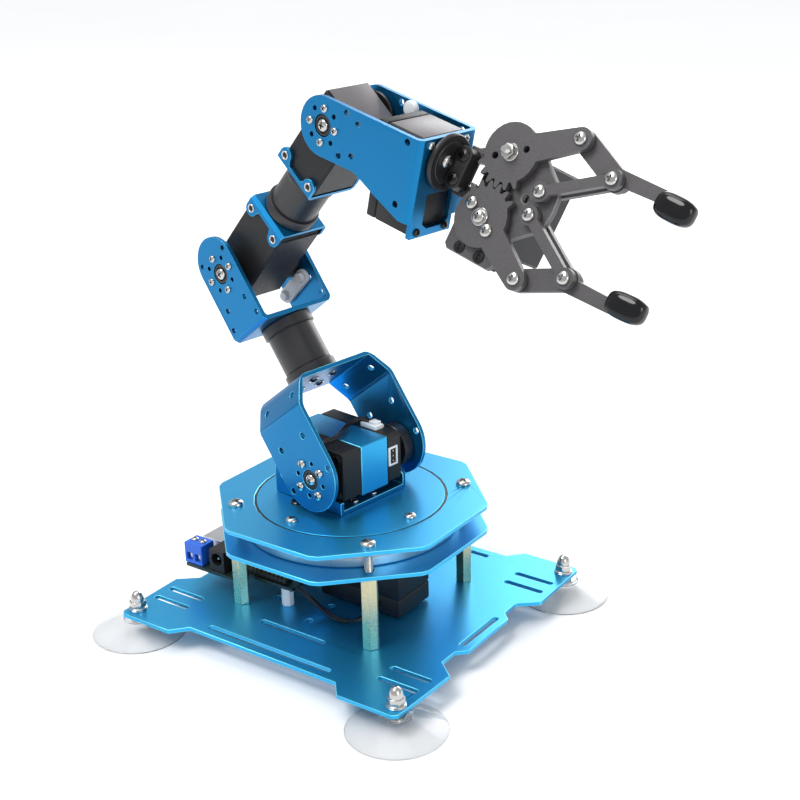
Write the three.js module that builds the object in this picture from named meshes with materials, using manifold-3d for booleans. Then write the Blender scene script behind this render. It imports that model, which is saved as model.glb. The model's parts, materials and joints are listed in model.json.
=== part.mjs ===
// Desktop robot arm: suction-cup base, turntable, shoulder, elbow, wrist, wrist roll and a geared
// parallel gripper. Millimetres, +Z up. The origin is the centre of the base plate's underside,
// on the yaw axis, and +X runs along the base plate's long side.
import * as THREE from 'three';
import { mergeVertices } from 'three/addons/utils/BufferGeometryUtils.js';
import Module from 'manifold-3d';

const wasm = await Module();
wasm.setup();

// ---------- driving dimensions ----------
const GAP = 0.3; // clearance between neighbouring pieces
const DEG = Math.PI / 180;

// base plate, quarter outline from the Y axis to the X axis, mirrored into the other quarters
const PLATE_T = 2;
const PLATE_QUARTER = [[42, 69.5], [48.5, 77], [77, 77], [79, 75], [80, 38.5], [71, 31], [71, 21], [75.5, 16.5]];
const SLOT_W = 3;
const LUG_SLOTS_Y = [46.8, 56.6];
const LUG_SLOT_X = [56.5, 74.5];
const LONG_SLOT = { half: 33.5, y: 64 };
const MID_SLOT = { half: 17, y: 46.8 };
const TAB_SLOT = { half: 13.5, x: 70.5 };
const PLATE_HOLES = [[-26.4, -25.4], [0, -34.6], [0, -18.4]];
const PLATE_HOLE_R = 1.7;

// suction cups
const CUP_X = 74.3;
const CUP_Y = 70;
const CUP_R = 22;
const CUP_FLOOR = -9.5;
const CUP_STUD_HOLE_R = 2.3;

// octagonal decks and the bearing between them
const DECK_T = 2;
const DECK_APOTHEM = 60;
const DECK_CHAMFER = DECK_APOTHEM * (1 - Math.tan(22.5 * DEG));
const LOWER_DECK_TOP = 40.2;
const UPPER_DECK_TOP = 52.3;
const STANDOFF_XY = 37.7;
const STANDOFF_ACROSS_FLATS = 7;
const BOLT_R = 2;
const DISC_R = 43.8;
const DECK_HOLE_R = 45;
const BEARING = { outer: 50.4, split: 44, inner: 33 };

// small servos: body without the output horns
const SERVO_W = 24.7;
const SERVO_L = 45.2;
const SHAFT_TO_END = 10.3;
const HORN_R = 10.5;
const SMALL_SERVO_L = 41.5;

// arm: plane turned about Z, then each link's length and direction above the horizontal
const ARM_YAW = -7.9 * DEG;
const SHOULDER = { r: 3.4, z: 70.2 };
const UPPER_ARM = { length: 103.3, angle: 127.5 };
const FOREARM = { length: 101, angle: 47.8 };
const HAND_ANGLE = -13.3;
const SHEET_T = 2;

// forks sit a little to the rear of the servos' middle: shift is how far along Y
const SHOULDER_FORK = {
  outer: 29.6, half: 17.5, bendAt: 31, web: 43.2, webHalf: 22.6, endAt: 2.5, shift: 1.4,
};
const ELBOW_FORK = { outer: 21.2, half: 13.2, web: 30.4, endAt: 4.6, shift: 1 };
const TUBE = { r: 11.4, collarR: 12.4, collarH: 5.4, shift: 1.4 };

const SERVO_SHIFT = 1.7; // both forearm servos sit this much towards the wrist
const WRIST_SERVO = { short: 2.3, top: -10.8 }; // how much shorter it is, and its upper face
const CAP = { outer: 14, sheet: 1.5, half: 12.3, elbowWeb: 40.5, wristWeb: 66, earLength: 9 };
const FOREARM_TUBE_R = 10.6;
const FOREARM_COLLAR_R = 12.2;

const HAND = {
  outer: 17.2, webFront: 53.6, top: -12.3, low: 29.9, wallLow: 23.2, rollAxis: -1.7, hornHoleR: 9.6, servoTop: -11.9,
  shift: 0.7, endR: 12.8, endAt: -0.3, webLeft: 15.1, webRight: 9.3,
};
const ROLL_FACE = 56.5; // face of the roll horn, from the wrist axis
const ROLL_ANGLE = -25 * DEG;
const ROLL_HORN = { r: 12, thick: 2.3 };

// gripper, in its own plane: X along the roll axis, Y across, Z out of the palm
const GEAR = { teeth: 20, pitchR: 13.77, x: 21.5, rimR: 12.2, top: -3.2, thick: 3 };
const LINK = { length: 30.3, angle: 30.6 * DEG, endR: 4.6, gearHalf: 6.2 };
const SUPPORT = { x: 41.2, y: 4.9, endR: 4.1, half: 2.2, rearR: 3.5, pinR: 1.5, holeR: 2 };
const PALM = { top: -6.8, thick: 3 };
const FINGER = { endR: 4.6, tipY: 22.1, tipHalf: 2.6, tipEnd: 98, top: -6.8, thick: 3 };
const TIP_CAP = { x0: 85.5, x1: 103.2, y0: 14.2, y1: 25.4, thick: 9.5 };

// controller board
const BOARD_UNDER = 11;
const BOARD_T = 1.6;

// cables held between housings: radius and the centre line, chosen by hand
const CABLE_R = 1.3;
const BASE_CABLE = [[-11.6, -28.4, 13], [-8.2, -28.6, 12.4], [-4.6, -28.2, 9.8], [0.2, -27.9, 6.6], [5.4, -28, 4.3],
  [11, -28.6, 3.7], [16.4, -28.2, 3.6], [20.8, -25, 3.8], [22.8, -20.4, 5.2], [23.2, -16.4, 7.2], [23.2, -12.9, 8]];
const SHOULDER_CABLE = [[1.4, 14.8, 83.6], [-2.4, 14.8, 84.4], [-5.8, 13.6, 84.6], [-7.6, 10.4, 83.9],
  [-6.8, 6, 83.3], [-4.2, 1, 83.3], [-1, -5.4, 83.3], [0.6, -11, 83.4], [-0.6, -15.8, 83.7], [-4, -19.4, 82.6],
  [-7.8, -21.4, 79.4], [-10.6, -21.9, 74.6], [-12, -22, 68.6], [-12.4, -22, 62], [-12.5, -22, 55], [-12.5, -22, 48]];
const CABLE_HOLE = { x: -12.5, y: -22, r: 2.4 };

const COLOURS = {
  deckBlue: [0x2f9fd0, 0.35, 0.6], armBlue: [0x1a76b8, 0.35, 0.6], black: [0x17181b, 0.45, 0.1],
  steel: [0xc8c9cc, 0.25, 1], brass: [0xb7b07a, 0.35, 1], clear: [0xdfe6ea, 0.1, 0], nylon: [0xe9ebec, 0.5, 0],
  grip: [0x5b595c, 0.55, 0.5], rubber: [0x0c0c0d, 0.15, 0], board: [0x1d2320, 0.6, 0], terminal: [0x2f6fd6, 0.5, 0],
};

// ---------- helpers ----------
const group = new THREE.Group();

function material(name) {
  const [color, roughness, metalness] = COLOURS[name];
  return new THREE.MeshStandardMaterial({ color, roughness, metalness });
}

function solid(geometry) {
  const bare = geometry.clone();
  bare.deleteAttribute('normal');
  bare.deleteAttribute('uv');
  const merged = mergeVertices(bare, 1e-4);
  return new wasm.Manifold(new wasm.Mesh({
    numProp: 3,
    vertProperties: new Float32Array(merged.attributes.position.array),
    triVerts: new Uint32Array(merged.index.array),
  }));
}

function geometryOf(body) {
  const mesh = body.getMesh();
  const geometry = new THREE.BufferGeometry();
  geometry.setAttribute('position', new THREE.BufferAttribute(new Float32Array(mesh.vertProperties), 3));
  geometry.setIndex(new THREE.BufferAttribute(new Uint32Array(mesh.triVerts), 1));
  geometry.computeVertexNormals();
  return geometry;
}

function join(...geometries) {
  return geometryOf(geometries.map(solid).reduce((a, b) => a.add(b)));
}

function cut(base, ...tools) {
  return geometryOf(tools.map(solid).reduce((a, b) => a.subtract(b), solid(base)));
}

function common(a, b) {
  return geometryOf(solid(a).intersect(solid(b)));
}

function add(parent, name, geometry, colour) {
  const mesh = new THREE.Mesh(geometry, material(colour));
  mesh.name = name;
  parent.add(mesh);
  return mesh;
}

function box(x0, x1, y0, y1, z0, z1) {
  return new THREE.BoxGeometry(x1 - x0, y1 - y0, z1 - z0)
    .translate((x0 + x1) / 2, (y0 + y1) / 2, (z0 + z1) / 2);
}

// a box with its four edges along Z chamfered
function chamferedBox(x0, x1, y0, y1, z0, z1, c = 1) {
  const shape = polygon([[x0 + c, y0], [x1 - c, y0], [x1, y0 + c], [x1, y1 - c], [x1 - c, y1], [x0 + c, y1],
    [x0, y1 - c], [x0, y0 + c]]);
  return prism(shape, z0, z1);
}

// cylinder along Z from z0 to z1
function rod(radius, z0, z1, sides = 24, x = 0, y = 0) {
  return new THREE.CylinderGeometry(radius, radius, z1 - z0, sides)
    .rotateX(Math.PI / 2).translate(x, y, (z0 + z1) / 2);
}

// cylinder along Y from y0 to y1, centred on (x, z)
function rodY(radius, y0, y1, sides = 24, x = 0, z = 0) {
  return new THREE.CylinderGeometry(radius, radius, y1 - y0, sides).translate(x, (y0 + y1) / 2, z);
}

// closed outline, always anticlockwise, so that its holes may run either way
function polygon(points) {
  const outline = points.map(([x, y]) => new THREE.Vector2(x, y));
  return new THREE.Shape(THREE.ShapeUtils.isClockWise(outline) ? outline.reverse() : outline);
}

function circle(x, y, radius) {
  return new THREE.Path().absarc(x, y, radius, 0, 2 * Math.PI, true);
}

// a slot with round ends from (x0, y0) to (x1, y1)
function slot(x0, y0, x1, y1, width) {
  const along = Math.atan2(y1 - y0, x1 - x0);
  return new THREE.Path()
    .absarc(x1, y1, width / 2, along + Math.PI / 2, along - Math.PI / 2, true)
    .absarc(x0, y0, width / 2, along - Math.PI / 2, along - 3 * Math.PI / 2, true);
}

function prism(shape, z0, z1, curveSegments = 6) {
  return new THREE.ExtrudeGeometry(shape, { depth: z1 - z0, bevelEnabled: false, curveSegments })
    .translate(0, 0, z0);
}

// shape drawn in X and Z, extruded along Y from y0 to y1
function prismY(shape, y0, y1, curveSegments = 6) {
  return prism(shape, -y1, -y0, curveSegments).rotateX(Math.PI / 2);
}

// shape drawn in Y and Z, extruded along X from x0 to x1
function prismX(shape, x0, x1, curveSegments = 6) {
  const cycle = new THREE.Matrix4().set(0, 0, 1, 0, 1, 0, 0, 0, 0, 1, 0, 0, 0, 0, 0, 1);
  return prism(shape, x0, x1, curveSegments).applyMatrix4(cycle);
}

function ring(outer, inner, z0, z1, sides = 64) {
  const profile = [[inner, z0], [outer, z0], [outer, z1], [inner, z1], [inner, z0]];
  return new THREE.LatheGeometry(profile.map(([x, y]) => new THREE.Vector2(x, y)), sides).rotateX(Math.PI / 2);
}

function turned(points, sides = 32) {
  return new THREE.LatheGeometry(points.map(([x, y]) => new THREE.Vector2(x, y)), sides).rotateX(Math.PI / 2);
}

// cable of the given radius along a smooth curve through the points
function cable(points, radius) {
  const path = new THREE.CatmullRomCurve3(points.map((p) => new THREE.Vector3(...p)), false, 'centripetal');
  const section = new THREE.Shape();
  const sides = 8;
  for (let i = 0; i < sides; i += 1) {
    const a = (i + 0.5) * 2 * Math.PI / sides;
    section[i ? 'lineTo' : 'moveTo'](radius * Math.cos(a), radius * Math.sin(a));
  }
  const steps = Math.ceil(path.getLength() / (4 * radius));
  return new THREE.ExtrudeGeometry(section, { steps, bevelEnabled: false, extrudePath: path });
}

function corners() {
  return [['front_left', -1, -1], ['front_right', 1, -1], ['rear_left', -1, 1], ['rear_right', 1, 1]];
}

// bar with round ends between two points, as a shape
function barShape(x0, y0, x1, y1, r0, r1) {
  const dx = x1 - x0;
  const dy = y1 - y0;
  const along = Math.atan2(dy, dx);
  const tilt = Math.asin((r0 - r1) / Math.hypot(dx, dy));
  const shape = new THREE.Shape();
  shape.absarc(x0, y0, r0, along + Math.PI / 2 - tilt, along + 3 * Math.PI / 2 + tilt, false);
  shape.absarc(x1, y1, r1, along - Math.PI / 2 + tilt, along + Math.PI / 2 - tilt, false);
  return shape;
}

// ---------- base ----------
function basePlate() {
  const q = PLATE_QUARTER;
  const back = [...q].reverse();
  const outline = [...q, ...back.map(([x, y]) => [x, -y]), ...q.map(([x, y]) => [-x, -y]),
    ...back.map(([x, y]) => [-x, y])];
  const shape = polygon(outline);
  for (const sx of [-1, 1]) {
    shape.holes.push(slot(sx * TAB_SLOT.x, -TAB_SLOT.half, sx * TAB_SLOT.x, TAB_SLOT.half, SLOT_W));
    for (const sy of [-1, 1]) {
      for (const y of LUG_SLOTS_Y) {
        shape.holes.push(slot(sx * LUG_SLOT_X[0], sy * y, sx * LUG_SLOT_X[1], sy * y, SLOT_W));
      }
      shape.holes.push(circle(sx * CUP_X, sy * CUP_Y, CUP_STUD_HOLE_R));
    }
  }
  for (const sy of [-1, 1]) {
    shape.holes.push(slot(-LONG_SLOT.half, sy * LONG_SLOT.y, LONG_SLOT.half, sy * LONG_SLOT.y, SLOT_W));
    shape.holes.push(slot(-MID_SLOT.half, sy * MID_SLOT.y, MID_SLOT.half, sy * MID_SLOT.y, SLOT_W));
  }
  for (const [x, y] of PLATE_HOLES) shape.holes.push(circle(x, y, PLATE_HOLE_R));
  return prism(shape, 0, PLATE_T, 5);
}

function suctionCup() {
  return turned([[0, -7.6], [14, -8], [20.2, CUP_FLOOR], [CUP_R, CUP_FLOOR], [CUP_R, -8.6],
    [16, -6.4], [9, -3.4], [6.2, -2.2], [6.2, -GAP / 3], [0, -GAP / 3]], 36);
}

function standoff() {
  const across = STANDOFF_ACROSS_FLATS / Math.sqrt(3);
  const hex = new THREE.Shape();
  for (let i = 0; i < 6; i += 1) {
    const a = i * 60 * DEG;
    hex[i ? 'lineTo' : 'moveTo'](across * Math.cos(a), across * Math.sin(a));
  }
  hex.holes.push(circle(0, 0, BOLT_R + GAP));
  return prism(hex, PLATE_T, LOWER_DECK_TOP - DECK_T, 5);
}

function deckBolt() {
  const head = 3.9;
  const top = UPPER_DECK_TOP;
  return turned([[0, LOWER_DECK_TOP - 10], [BOLT_R, LOWER_DECK_TOP - 10], [BOLT_R, top], [head, top],
    [head, top + 1.2], [2.6, top + 2.2], [0, top + 2.4]], 16);
}

function octagon(holeR) {
  const a = DECK_APOTHEM;
  const c = a - DECK_CHAMFER;
  const ease = 2.2; // the corners are eased by a short chord
  const corner = [[a, -c], [a, c], [c, a], [-c, a], [-a, c], [-a, -c], [-c, -a], [c, -a]];
  const points = [];
  corner.forEach((p, i) => {
    const before = corner[(i + 7) % 8];
    const after = corner[(i + 1) % 8];
    for (const q of [before, after]) {
      const d = Math.hypot(q[0] - p[0], q[1] - p[1]);
      points.push([p[0] + (q[0] - p[0]) * ease / d, p[1] + (q[1] - p[1]) * ease / d]);
    }
  });
  const shape = polygon(points);
  shape.holes.push(circle(0, 0, holeR));
  for (const [, sx, sy] of corners()) {
    shape.holes.push(circle(sx * STANDOFF_XY, sy * STANDOFF_XY, BOLT_R + GAP));
  }
  return shape;
}

function yawServo() {
  const z0 = PLATE_T + 1;
  const z1 = LOWER_DECK_TOP - DECK_T - GAP;
  const x0 = -SHAFT_TO_END;
  const body = chamferedBox(x0, x0 + SERVO_L, -SERVO_W / 2, SERVO_W / 2, z0, z1, 1.2);
  return join(body, rod(4.5, z1 - 1, LOWER_DECK_TOP, 20));
}

function controllerBoard() {
  const outline = [[-73, -37.5], [-43.5, -37.5], [-43.5, -30.5], [-13, -30.5], [-13, 30.5], [-73, 30.5]];
  return prism(polygon(outline), BOARD_UNDER, BOARD_UNDER + BOARD_T);
}

function buildController() {
  const top = BOARD_UNDER + BOARD_T;
  add(group, 'controller_board', controllerBoard(), 'board');
  const body = box(-74, -63, -37, -28, top, top + 10.6);
  const entry = (x) => box(x, x + 3.4, -38, -34, top + 1.6, top + 5.6);
  add(group, 'terminal_block', cut(body, entry(-72.7), entry(-67.6)), 'terminal');
  const jackX = -53.6;
  const jack = box(jackX - 4.6, jackX + 4.6, -36.8, -22.6, top, top + 11);
  const bore = rodY(3.2, -37.8, -27, 20, jackX, top + 6.4);
  add(group, 'dc_jack', cut(jack, bore), 'black');
  const shell = box(-76, -62, -22, -8, top, top + 7);
  add(group, 'usb_socket', cut(shell, box(-77, -66, -20.6, -9.4, top + 1, top + 6)), 'steel');
  for (const [name, y] of [['front', -28], ['rear', 28]]) {
    add(group, `board_standoff_${name}`, rod(3, PLATE_T, BOARD_UNDER, 6, -18, y), 'nylon');
  }
  add(group, 'yaw_servo_cable', cable(BASE_CABLE, CABLE_R), 'black');
}

function buildBase() {
  add(group, 'base_plate', basePlate(), 'deckBlue');
  for (const [name, sx, sy] of corners()) {
    const cup = add(group, `suction_cup_${name}`, suctionCup(), 'clear');
    cup.position.set(sx * CUP_X, sy * CUP_Y, 0);
    const post = add(group, `standoff_${name}`, standoff(), 'brass');
    post.position.set(sx * STANDOFF_XY, sy * STANDOFF_XY, 0);
    const bolt = add(group, `deck_bolt_${name}`, deckBolt(), 'steel');
    bolt.position.set(sx * STANDOFF_XY, sy * STANDOFF_XY, 0);
  }
  const hubHoleR = 11;
  add(group, 'lower_deck', prism(octagon(hubHoleR), LOWER_DECK_TOP - DECK_T, LOWER_DECK_TOP, 12), 'deckBlue');
  add(group, 'upper_deck', prism(octagon(DECK_HOLE_R), UPPER_DECK_TOP - DECK_T, UPPER_DECK_TOP, 16), 'deckBlue');
  const z1 = UPPER_DECK_TOP - DECK_T;
  add(group, 'bearing_outer_ring', ring(BEARING.outer, BEARING.split + GAP, LOWER_DECK_TOP, z1), 'steel');
  add(group, 'yaw_servo', yawServo(), 'black');
  buildController();
}

// ---------- turntable ----------
function shoulderBracket(floor) {
  const wall = SHEET_T;
  const y0 = -20;
  const y1 = 22.5;
  const x0 = -29.4;
  const x1 = 14;
  const base = box(x0, x1, y0, y1, floor, floor + wall);
  const left = polygon([[x0, floor], [x1, floor], [x1, floor + 6], [-12, floor + 6], [-17, floor + 16],
    [x0 + 3, floor + 16], [x0, floor + 13]]);
  const right = polygon([[x0, floor], [x1, floor], [x1, floor + 7], [x1 - 3, floor + 10], [x0 + 3, floor + 10],
    [x0, floor + 7]]);
  const hole = rodY(2.4, y0 - 1, y0 + wall + 1, 16, -23.5, floor + 10);
  return cut(join(base, prismY(left, y0, y0 + wall), prismY(right, y1 - wall, y1)), hole);
}

function buildTurntable() {
  const table = new THREE.Group();
  table.rotation.z = ARM_YAW;
  group.add(table);
  const discTop = UPPER_DECK_TOP;
  const discUnder = discTop - DECK_T;
  const hole = rod(CABLE_HOLE.r, discUnder - 1, discTop + 1, 16, CABLE_HOLE.x, CABLE_HOLE.y);
  add(table, 'turntable_disc', cut(rod(DISC_R, discUnder, discTop, 64), hole), 'deckBlue');
  const lift = 0.5; // the inner ring stands clear of the lower deck
  add(table, 'bearing_inner_ring',
    ring(BEARING.split - GAP, BEARING.inner, LOWER_DECK_TOP + lift, discUnder - 0.02), 'steel');
  add(table, 'turntable_hub', rod(12, LOWER_DECK_TOP + lift, discUnder - GAP, 32), 'steel');

  const floor = discTop + GAP;
  add(table, 'shoulder_bracket', shoulderBracket(floor), 'armBlue');

  const x1 = SHOULDER.r + SHAFT_TO_END;
  const x0 = x1 - SERVO_L;
  const z0 = floor + SHEET_T + 3;
  const z1 = z0 + 24;
  const stages = [['shoulder_servo_front', -17.7, -6, 'black', 1.6], ['shoulder_servo_case', -6, 11, 'armBlue', 0.4],
    ['shoulder_servo_rear', 11, 20.2, 'black', 1.6]];
  for (const [name, y0, y1, colour, ease] of stages) {
    const c = ease;
    const outline = polygon([[x0 + c, z0], [x1 - c, z0], [x1, z0 + c], [x1, z1 - c], [x1 - c, z1], [x0 + c, z1],
      [x0, z1 - c], [x0, z0 + c]]);
    add(table, name, prismY(outline, y0 + 0.05, y1 - 0.05), colour);
  }
  add(table, 'shoulder_servo_cable', cable(SHOULDER_CABLE, CABLE_R), 'black');
  return table;
}

// ---------- forks ----------
// sheet-metal fork open at its lower end: walls at Y = +-outer, web across the top at Z = web
function forkProfile({ outer, bendAt, web, webHalf }) {
  const t = SHEET_T;
  const r = 2.5; // inner bend chord
  const o = outer;
  const low = -60;
  const inset = t * 0.8;
  return polygon([[-o, low], [-o + t, low], [-o + t, bendAt - inset / 2], [-webHalf + inset, web - t],
    [webHalf - inset, web - t], [o - t, bendAt - inset / 2], [o - t, low], [o, low], [o, bendAt],
    [webHalf + r / 3, web - r], [webHalf - r, web], [-webHalf + r, web], [-webHalf - r / 3, web - r], [-o, bendAt]]);
}

// outline of a fork seen along Y: straight sides and a round lower end
function forkSide(half, endAt, top) {
  const shape = new THREE.Shape();
  shape.moveTo(half, top);
  shape.lineTo(-half, top);
  shape.absarc(0, endAt, half, Math.PI, 2 * Math.PI, false);
  return shape;
}

// hub hole and the horn's empty screw holes, through both walls
function hornHoles(reach) {
  const circleR = 8;
  const holes = [rodY(4.8, -reach, reach, 24)];
  for (let i = 0; i < 4; i += 1) {
    const a = (45 + 90 * i) * DEG;
    holes.push(rodY(1.2, -reach, reach, 8, circleR * Math.cos(a), circleR * Math.sin(a)));
  }
  return holes;
}

function holePairs(reach, radius, rows) {
  return rows.flatMap(([z, x]) => [rodY(radius, -reach, reach, 10, x, z), rodY(radius, -reach, reach, 10, -x, z)]);
}

function shoulderFork() {
  const f = SHOULDER_FORK;
  const strip = prismX(forkProfile(f), -f.half, f.half);
  const body = common(strip, prismY(forkSide(f.half, f.endAt, f.web + 1), -f.outer - 1, f.outer + 1, 12));
  const facetHoles = [];
  const tilt = Math.atan2(f.outer - f.webHalf, f.web - f.bendAt);
  for (const side of [-1, 1]) {
    for (const x of [-11, 11]) {
      const hole = rodY(1.6, -4, 4, 10).rotateX(side * tilt);
      facetHoles.push(hole.translate(x, side * (f.outer + f.webHalf) / 2, (f.bendAt + f.web) / 2));
    }
  }
  return cut(body, ...hornHoles(f.outer + 1), ...holePairs(f.outer + 1, 1.6, [[18.4, 9.2], [0, 14.6]]), ...facetHoles);
}

function elbowFork() {
  const f = ELBOW_FORK;
  const t = SHEET_T;
  const r = 2;
  const o = f.outer;
  const profile = polygon([[-o, 60], [-o, -f.web + r], [-o + r, -f.web], [o - r, -f.web], [o, -f.web + r], [o, 60],
    [o - t, 60], [o - t, -f.web + t + r / 2], [o - t - r / 2, -f.web + t], [-o + t + r / 2, -f.web + t],
    [-o + t, -f.web + t + r / 2], [-o + t, 60]]);
  const side = new THREE.Shape();
  side.moveTo(-f.half, -f.web - 1);
  side.lineTo(f.half, -f.web - 1);
  side.absarc(0, f.endAt, f.half, 0, Math.PI, false);
  const body = common(prismX(profile, -f.half, f.half), prismY(side, -o - 1, o + 1, 10));
  return cut(body, ...hornHoles(o + 1), ...holePairs(o + 1, 1.4, [[8.7, 9.6], [-15.6, 7.8], [-24.6, 10.4]]));
}

// horn on a servo face: a disc against the wall and a stepped boss into the servo
function horn(y0, y1, radius = HORN_R) {
  const [near, far] = Math.abs(y0) < Math.abs(y1) ? [y0, y1] : [y1, y0];
  const out = Math.sign(far);
  const face = near + out * Math.min(2.6, Math.abs(far - near) / 2);
  const boss = rodY(6.5, Math.min(near, face), Math.max(near, face), 20);
  const disc = rodY(radius, Math.min(face - out * 0.2, far), Math.max(face - out * 0.2, far), 28);
  const hub = rodY(4.5, Math.min(far - out, far + out * 1.6), Math.max(far - out, far + out * 1.6), 20);
  return join(boss, disc, hub);
}

// ---------- upper arm ----------
function collaredTube(z0, z1) {
  const { r: tubeR, collarR, collarH } = TUBE;
  const ease = 0.5;
  return turned([[0, z0], [collarR - ease, z0], [collarR, z0 + ease], [collarR, z0 + collarH - ease],
    [tubeR, z0 + collarH], [tubeR, z1 - collarH], [collarR, z1 - collarH + ease], [collarR, z1 - ease],
    [collarR - ease, z1], [0, z1]], 36);
}

function buildUpperArm(table) {
  const arm = new THREE.Group();
  arm.position.set(SHOULDER.r, 0, SHOULDER.z);
  arm.rotation.y = (90 - UPPER_ARM.angle) * DEG;
  table.add(arm);
  const f = SHOULDER_FORK;
  const inner = f.outer - SHEET_T - GAP;
  add(arm, 'shoulder_fork', shoulderFork(), 'armBlue').position.y = f.shift;
  add(arm, 'shoulder_horn', horn(-17.7 - GAP, f.shift - inner), 'black');
  add(arm, 'shoulder_idler', horn(20.2 + GAP, f.shift + inner), 'black');
  const tubeTop = UPPER_ARM.length - ELBOW_FORK.web - GAP;
  add(arm, 'upper_arm_tube', collaredTube(f.web + GAP, tubeTop), 'black').position.y = TUBE.shift;

  const elbow = new THREE.Group();
  elbow.position.z = UPPER_ARM.length;
  arm.add(elbow);
  const { outer, shift } = ELBOW_FORK;
  add(elbow, 'elbow_fork', elbowFork(), 'armBlue').position.y = shift;
  const elbowInner = outer - SHEET_T - GAP;
  add(elbow, 'elbow_horn', horn(-SERVO_W / 2 - GAP, shift - elbowInner), 'black');
  add(elbow, 'elbow_idler', horn(SERVO_W / 2 + GAP, shift + elbowInner), 'black');
  return arm;
}

// ---------- forearm ----------
function servoBody(z0, z1, x0 = -SERVO_W / 2) {
  const w = SERVO_W / 2;
  const c = 0.9;
  const ends = 1.1;
  const outline = polygon([[x0 + c, -w], [w - c, -w], [w, -w + c], [w, w - c], [w - c, w], [x0 + c, w],
    [x0, w - c], [x0, -w + c]]);
  const main = prism(outline, z0 + ends, z1 - ends);
  const cover = (a, b) => box(x0 + c, w - c, -w + c, w - c, a, b);
  return join(main, cover(z0, z0 + ends + 0.1), cover(z1 - ends - 0.1, z1));
}

// saddle across a servo's end: web at Z = web, an ear reaching down each side; up is +1 or -1
function capBracket(web, up) {
  const { outer: o, sheet: t, half, earLength } = CAP;
  const r = 1.6;
  const s = -up;
  const profile = [[-o, web + s * earLength], [-o, web + s * r], [-o + r, web], [o - r, web], [o, web + s * r],
    [o, web + s * earLength], [o - t, web + s * earLength], [o - t, web + s * t], [-o + t, web + s * t],
    [-o + t, web + s * earLength]];
  const strip = prismX(polygon(profile), -half, half);
  const ear = new THREE.Shape();
  const earR = 3.4;
  const x = half - earR;
  ear.moveTo(-half, web - s);
  ear.lineTo(-half, web + s * (earLength - earR));
  ear.absarc(-x, web + s * (earLength - earR), earR, Math.PI, 0, s > 0);
  ear.lineTo(-x + earR + 1.2, web + s * 3.4);
  ear.lineTo(x - earR - 1.2, web + s * 3.4);
  ear.absarc(x, web + s * (earLength - earR), earR, Math.PI, 0, s > 0);
  ear.lineTo(half, web - s);
  return common(strip, prismY(ear, -o - 1, o + 1, 8));
}

function buildForearm(arm) {
  const forearm = new THREE.Group();
  forearm.position.z = UPPER_ARM.length;
  forearm.rotation.y = (UPPER_ARM.angle - FOREARM.angle) * DEG;
  arm.add(forearm);
  const farEnd = SERVO_L - SHAFT_TO_END;
  add(forearm, 'elbow_servo', servoBody(SERVO_SHIFT - SHAFT_TO_END, SERVO_SHIFT + farEnd), 'black');
  add(forearm, 'elbow_cap', capBracket(CAP.elbowWeb, 1), 'armBlue');
  const tube = turned([[0, CAP.elbowWeb + GAP], [FOREARM_COLLAR_R, CAP.elbowWeb + GAP],
    [FOREARM_COLLAR_R, CAP.elbowWeb + 5], [FOREARM_TUBE_R, CAP.elbowWeb + 5.6], [FOREARM_TUBE_R, CAP.wristWeb - 4],
    [FOREARM_COLLAR_R - 0.6, CAP.wristWeb - 3.4], [FOREARM_COLLAR_R - 0.6, CAP.wristWeb - GAP],
    [0, CAP.wristWeb - GAP]], 36);
  add(forearm, 'forearm_tube', tube, 'black');
  add(forearm, 'wrist_cap', capBracket(CAP.wristWeb, -1), 'armBlue');
  const wrist = FOREARM.length + SERVO_SHIFT;
  const wristEnd = wrist + SHAFT_TO_END - WRIST_SERVO.short;
  add(forearm, 'wrist_servo', servoBody(wrist - farEnd, wristEnd, WRIST_SERVO.top), 'black');
  return forearm;
}

// ---------- hand ----------
function handBracket() {
  const o = HAND.outer;
  const t = SHEET_T;
  const r = 2;
  const front = HAND.webFront;
  const profile = polygon([[-o, -40], [-o + t, -40], [-o + t, front - t - r / 2], [-o + t + r / 2, front - t],
    [o - t - r / 2, front - t], [o - t, front - t - r / 2], [o - t, -40], [o, -40], [o, front - r], [o - r, front],
    [-o + r, front], [-o, front - r]]);
  const low = HAND.low;
  const strip = prismX(profile, HAND.top, low);
  const side = new THREE.Shape();
  side.moveTo(HAND.top, front + 1);
  side.lineTo(HAND.top, HAND.endAt);
  side.absarc(HAND.top + HAND.endR, HAND.endAt, HAND.endR, Math.PI, 2 * Math.PI, false);
  side.lineTo(12.8, 20.5);
  side.lineTo(18, 33.4);
  side.lineTo(HAND.wallLow, 47.6);
  side.lineTo(HAND.wallLow, front - t - 0.2);
  side.lineTo(low, front - t - 0.2);
  side.lineTo(low, front + 1);
  const body = common(strip, prismY(side, -o - 1, o + 1, 14));
  const trimWeb = (s, w) => prism(polygon([[HAND.wallLow, s * w], [40, s * w], [40, s * (o + 2)],
    [HAND.wallLow, s * (o + 2)]]), front - 8, front + 2);
  const hornHole = rod(HAND.hornHoleR, front - 4, front + 1, 36, HAND.rollAxis, -HAND.shift);
  const window = prism(polygon([[11.5, -7.8], [11.5, 7.8], [24.5, 7.8], [26.8, 4.7], [26.8, -4.7], [24.5, -7.8]]),
    front - 4, front + 1).translate(0, -HAND.shift, 0);
  const wallHoles = [[9, 10.9], [6.7, 17.8], [-9.6, 12.4], [-7.3, 19.3], [-9.6, 46.6], [17.1, 45.2]];
  return cut(body, trimWeb(1, HAND.webRight), trimWeb(-1, HAND.webLeft), hornHole, window, ...hornHoles(o + 1),
    ...wallHoles.map(([x, z]) => rodY(1.5, -o - 1, o + 1, 10, x, z)));
}

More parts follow.
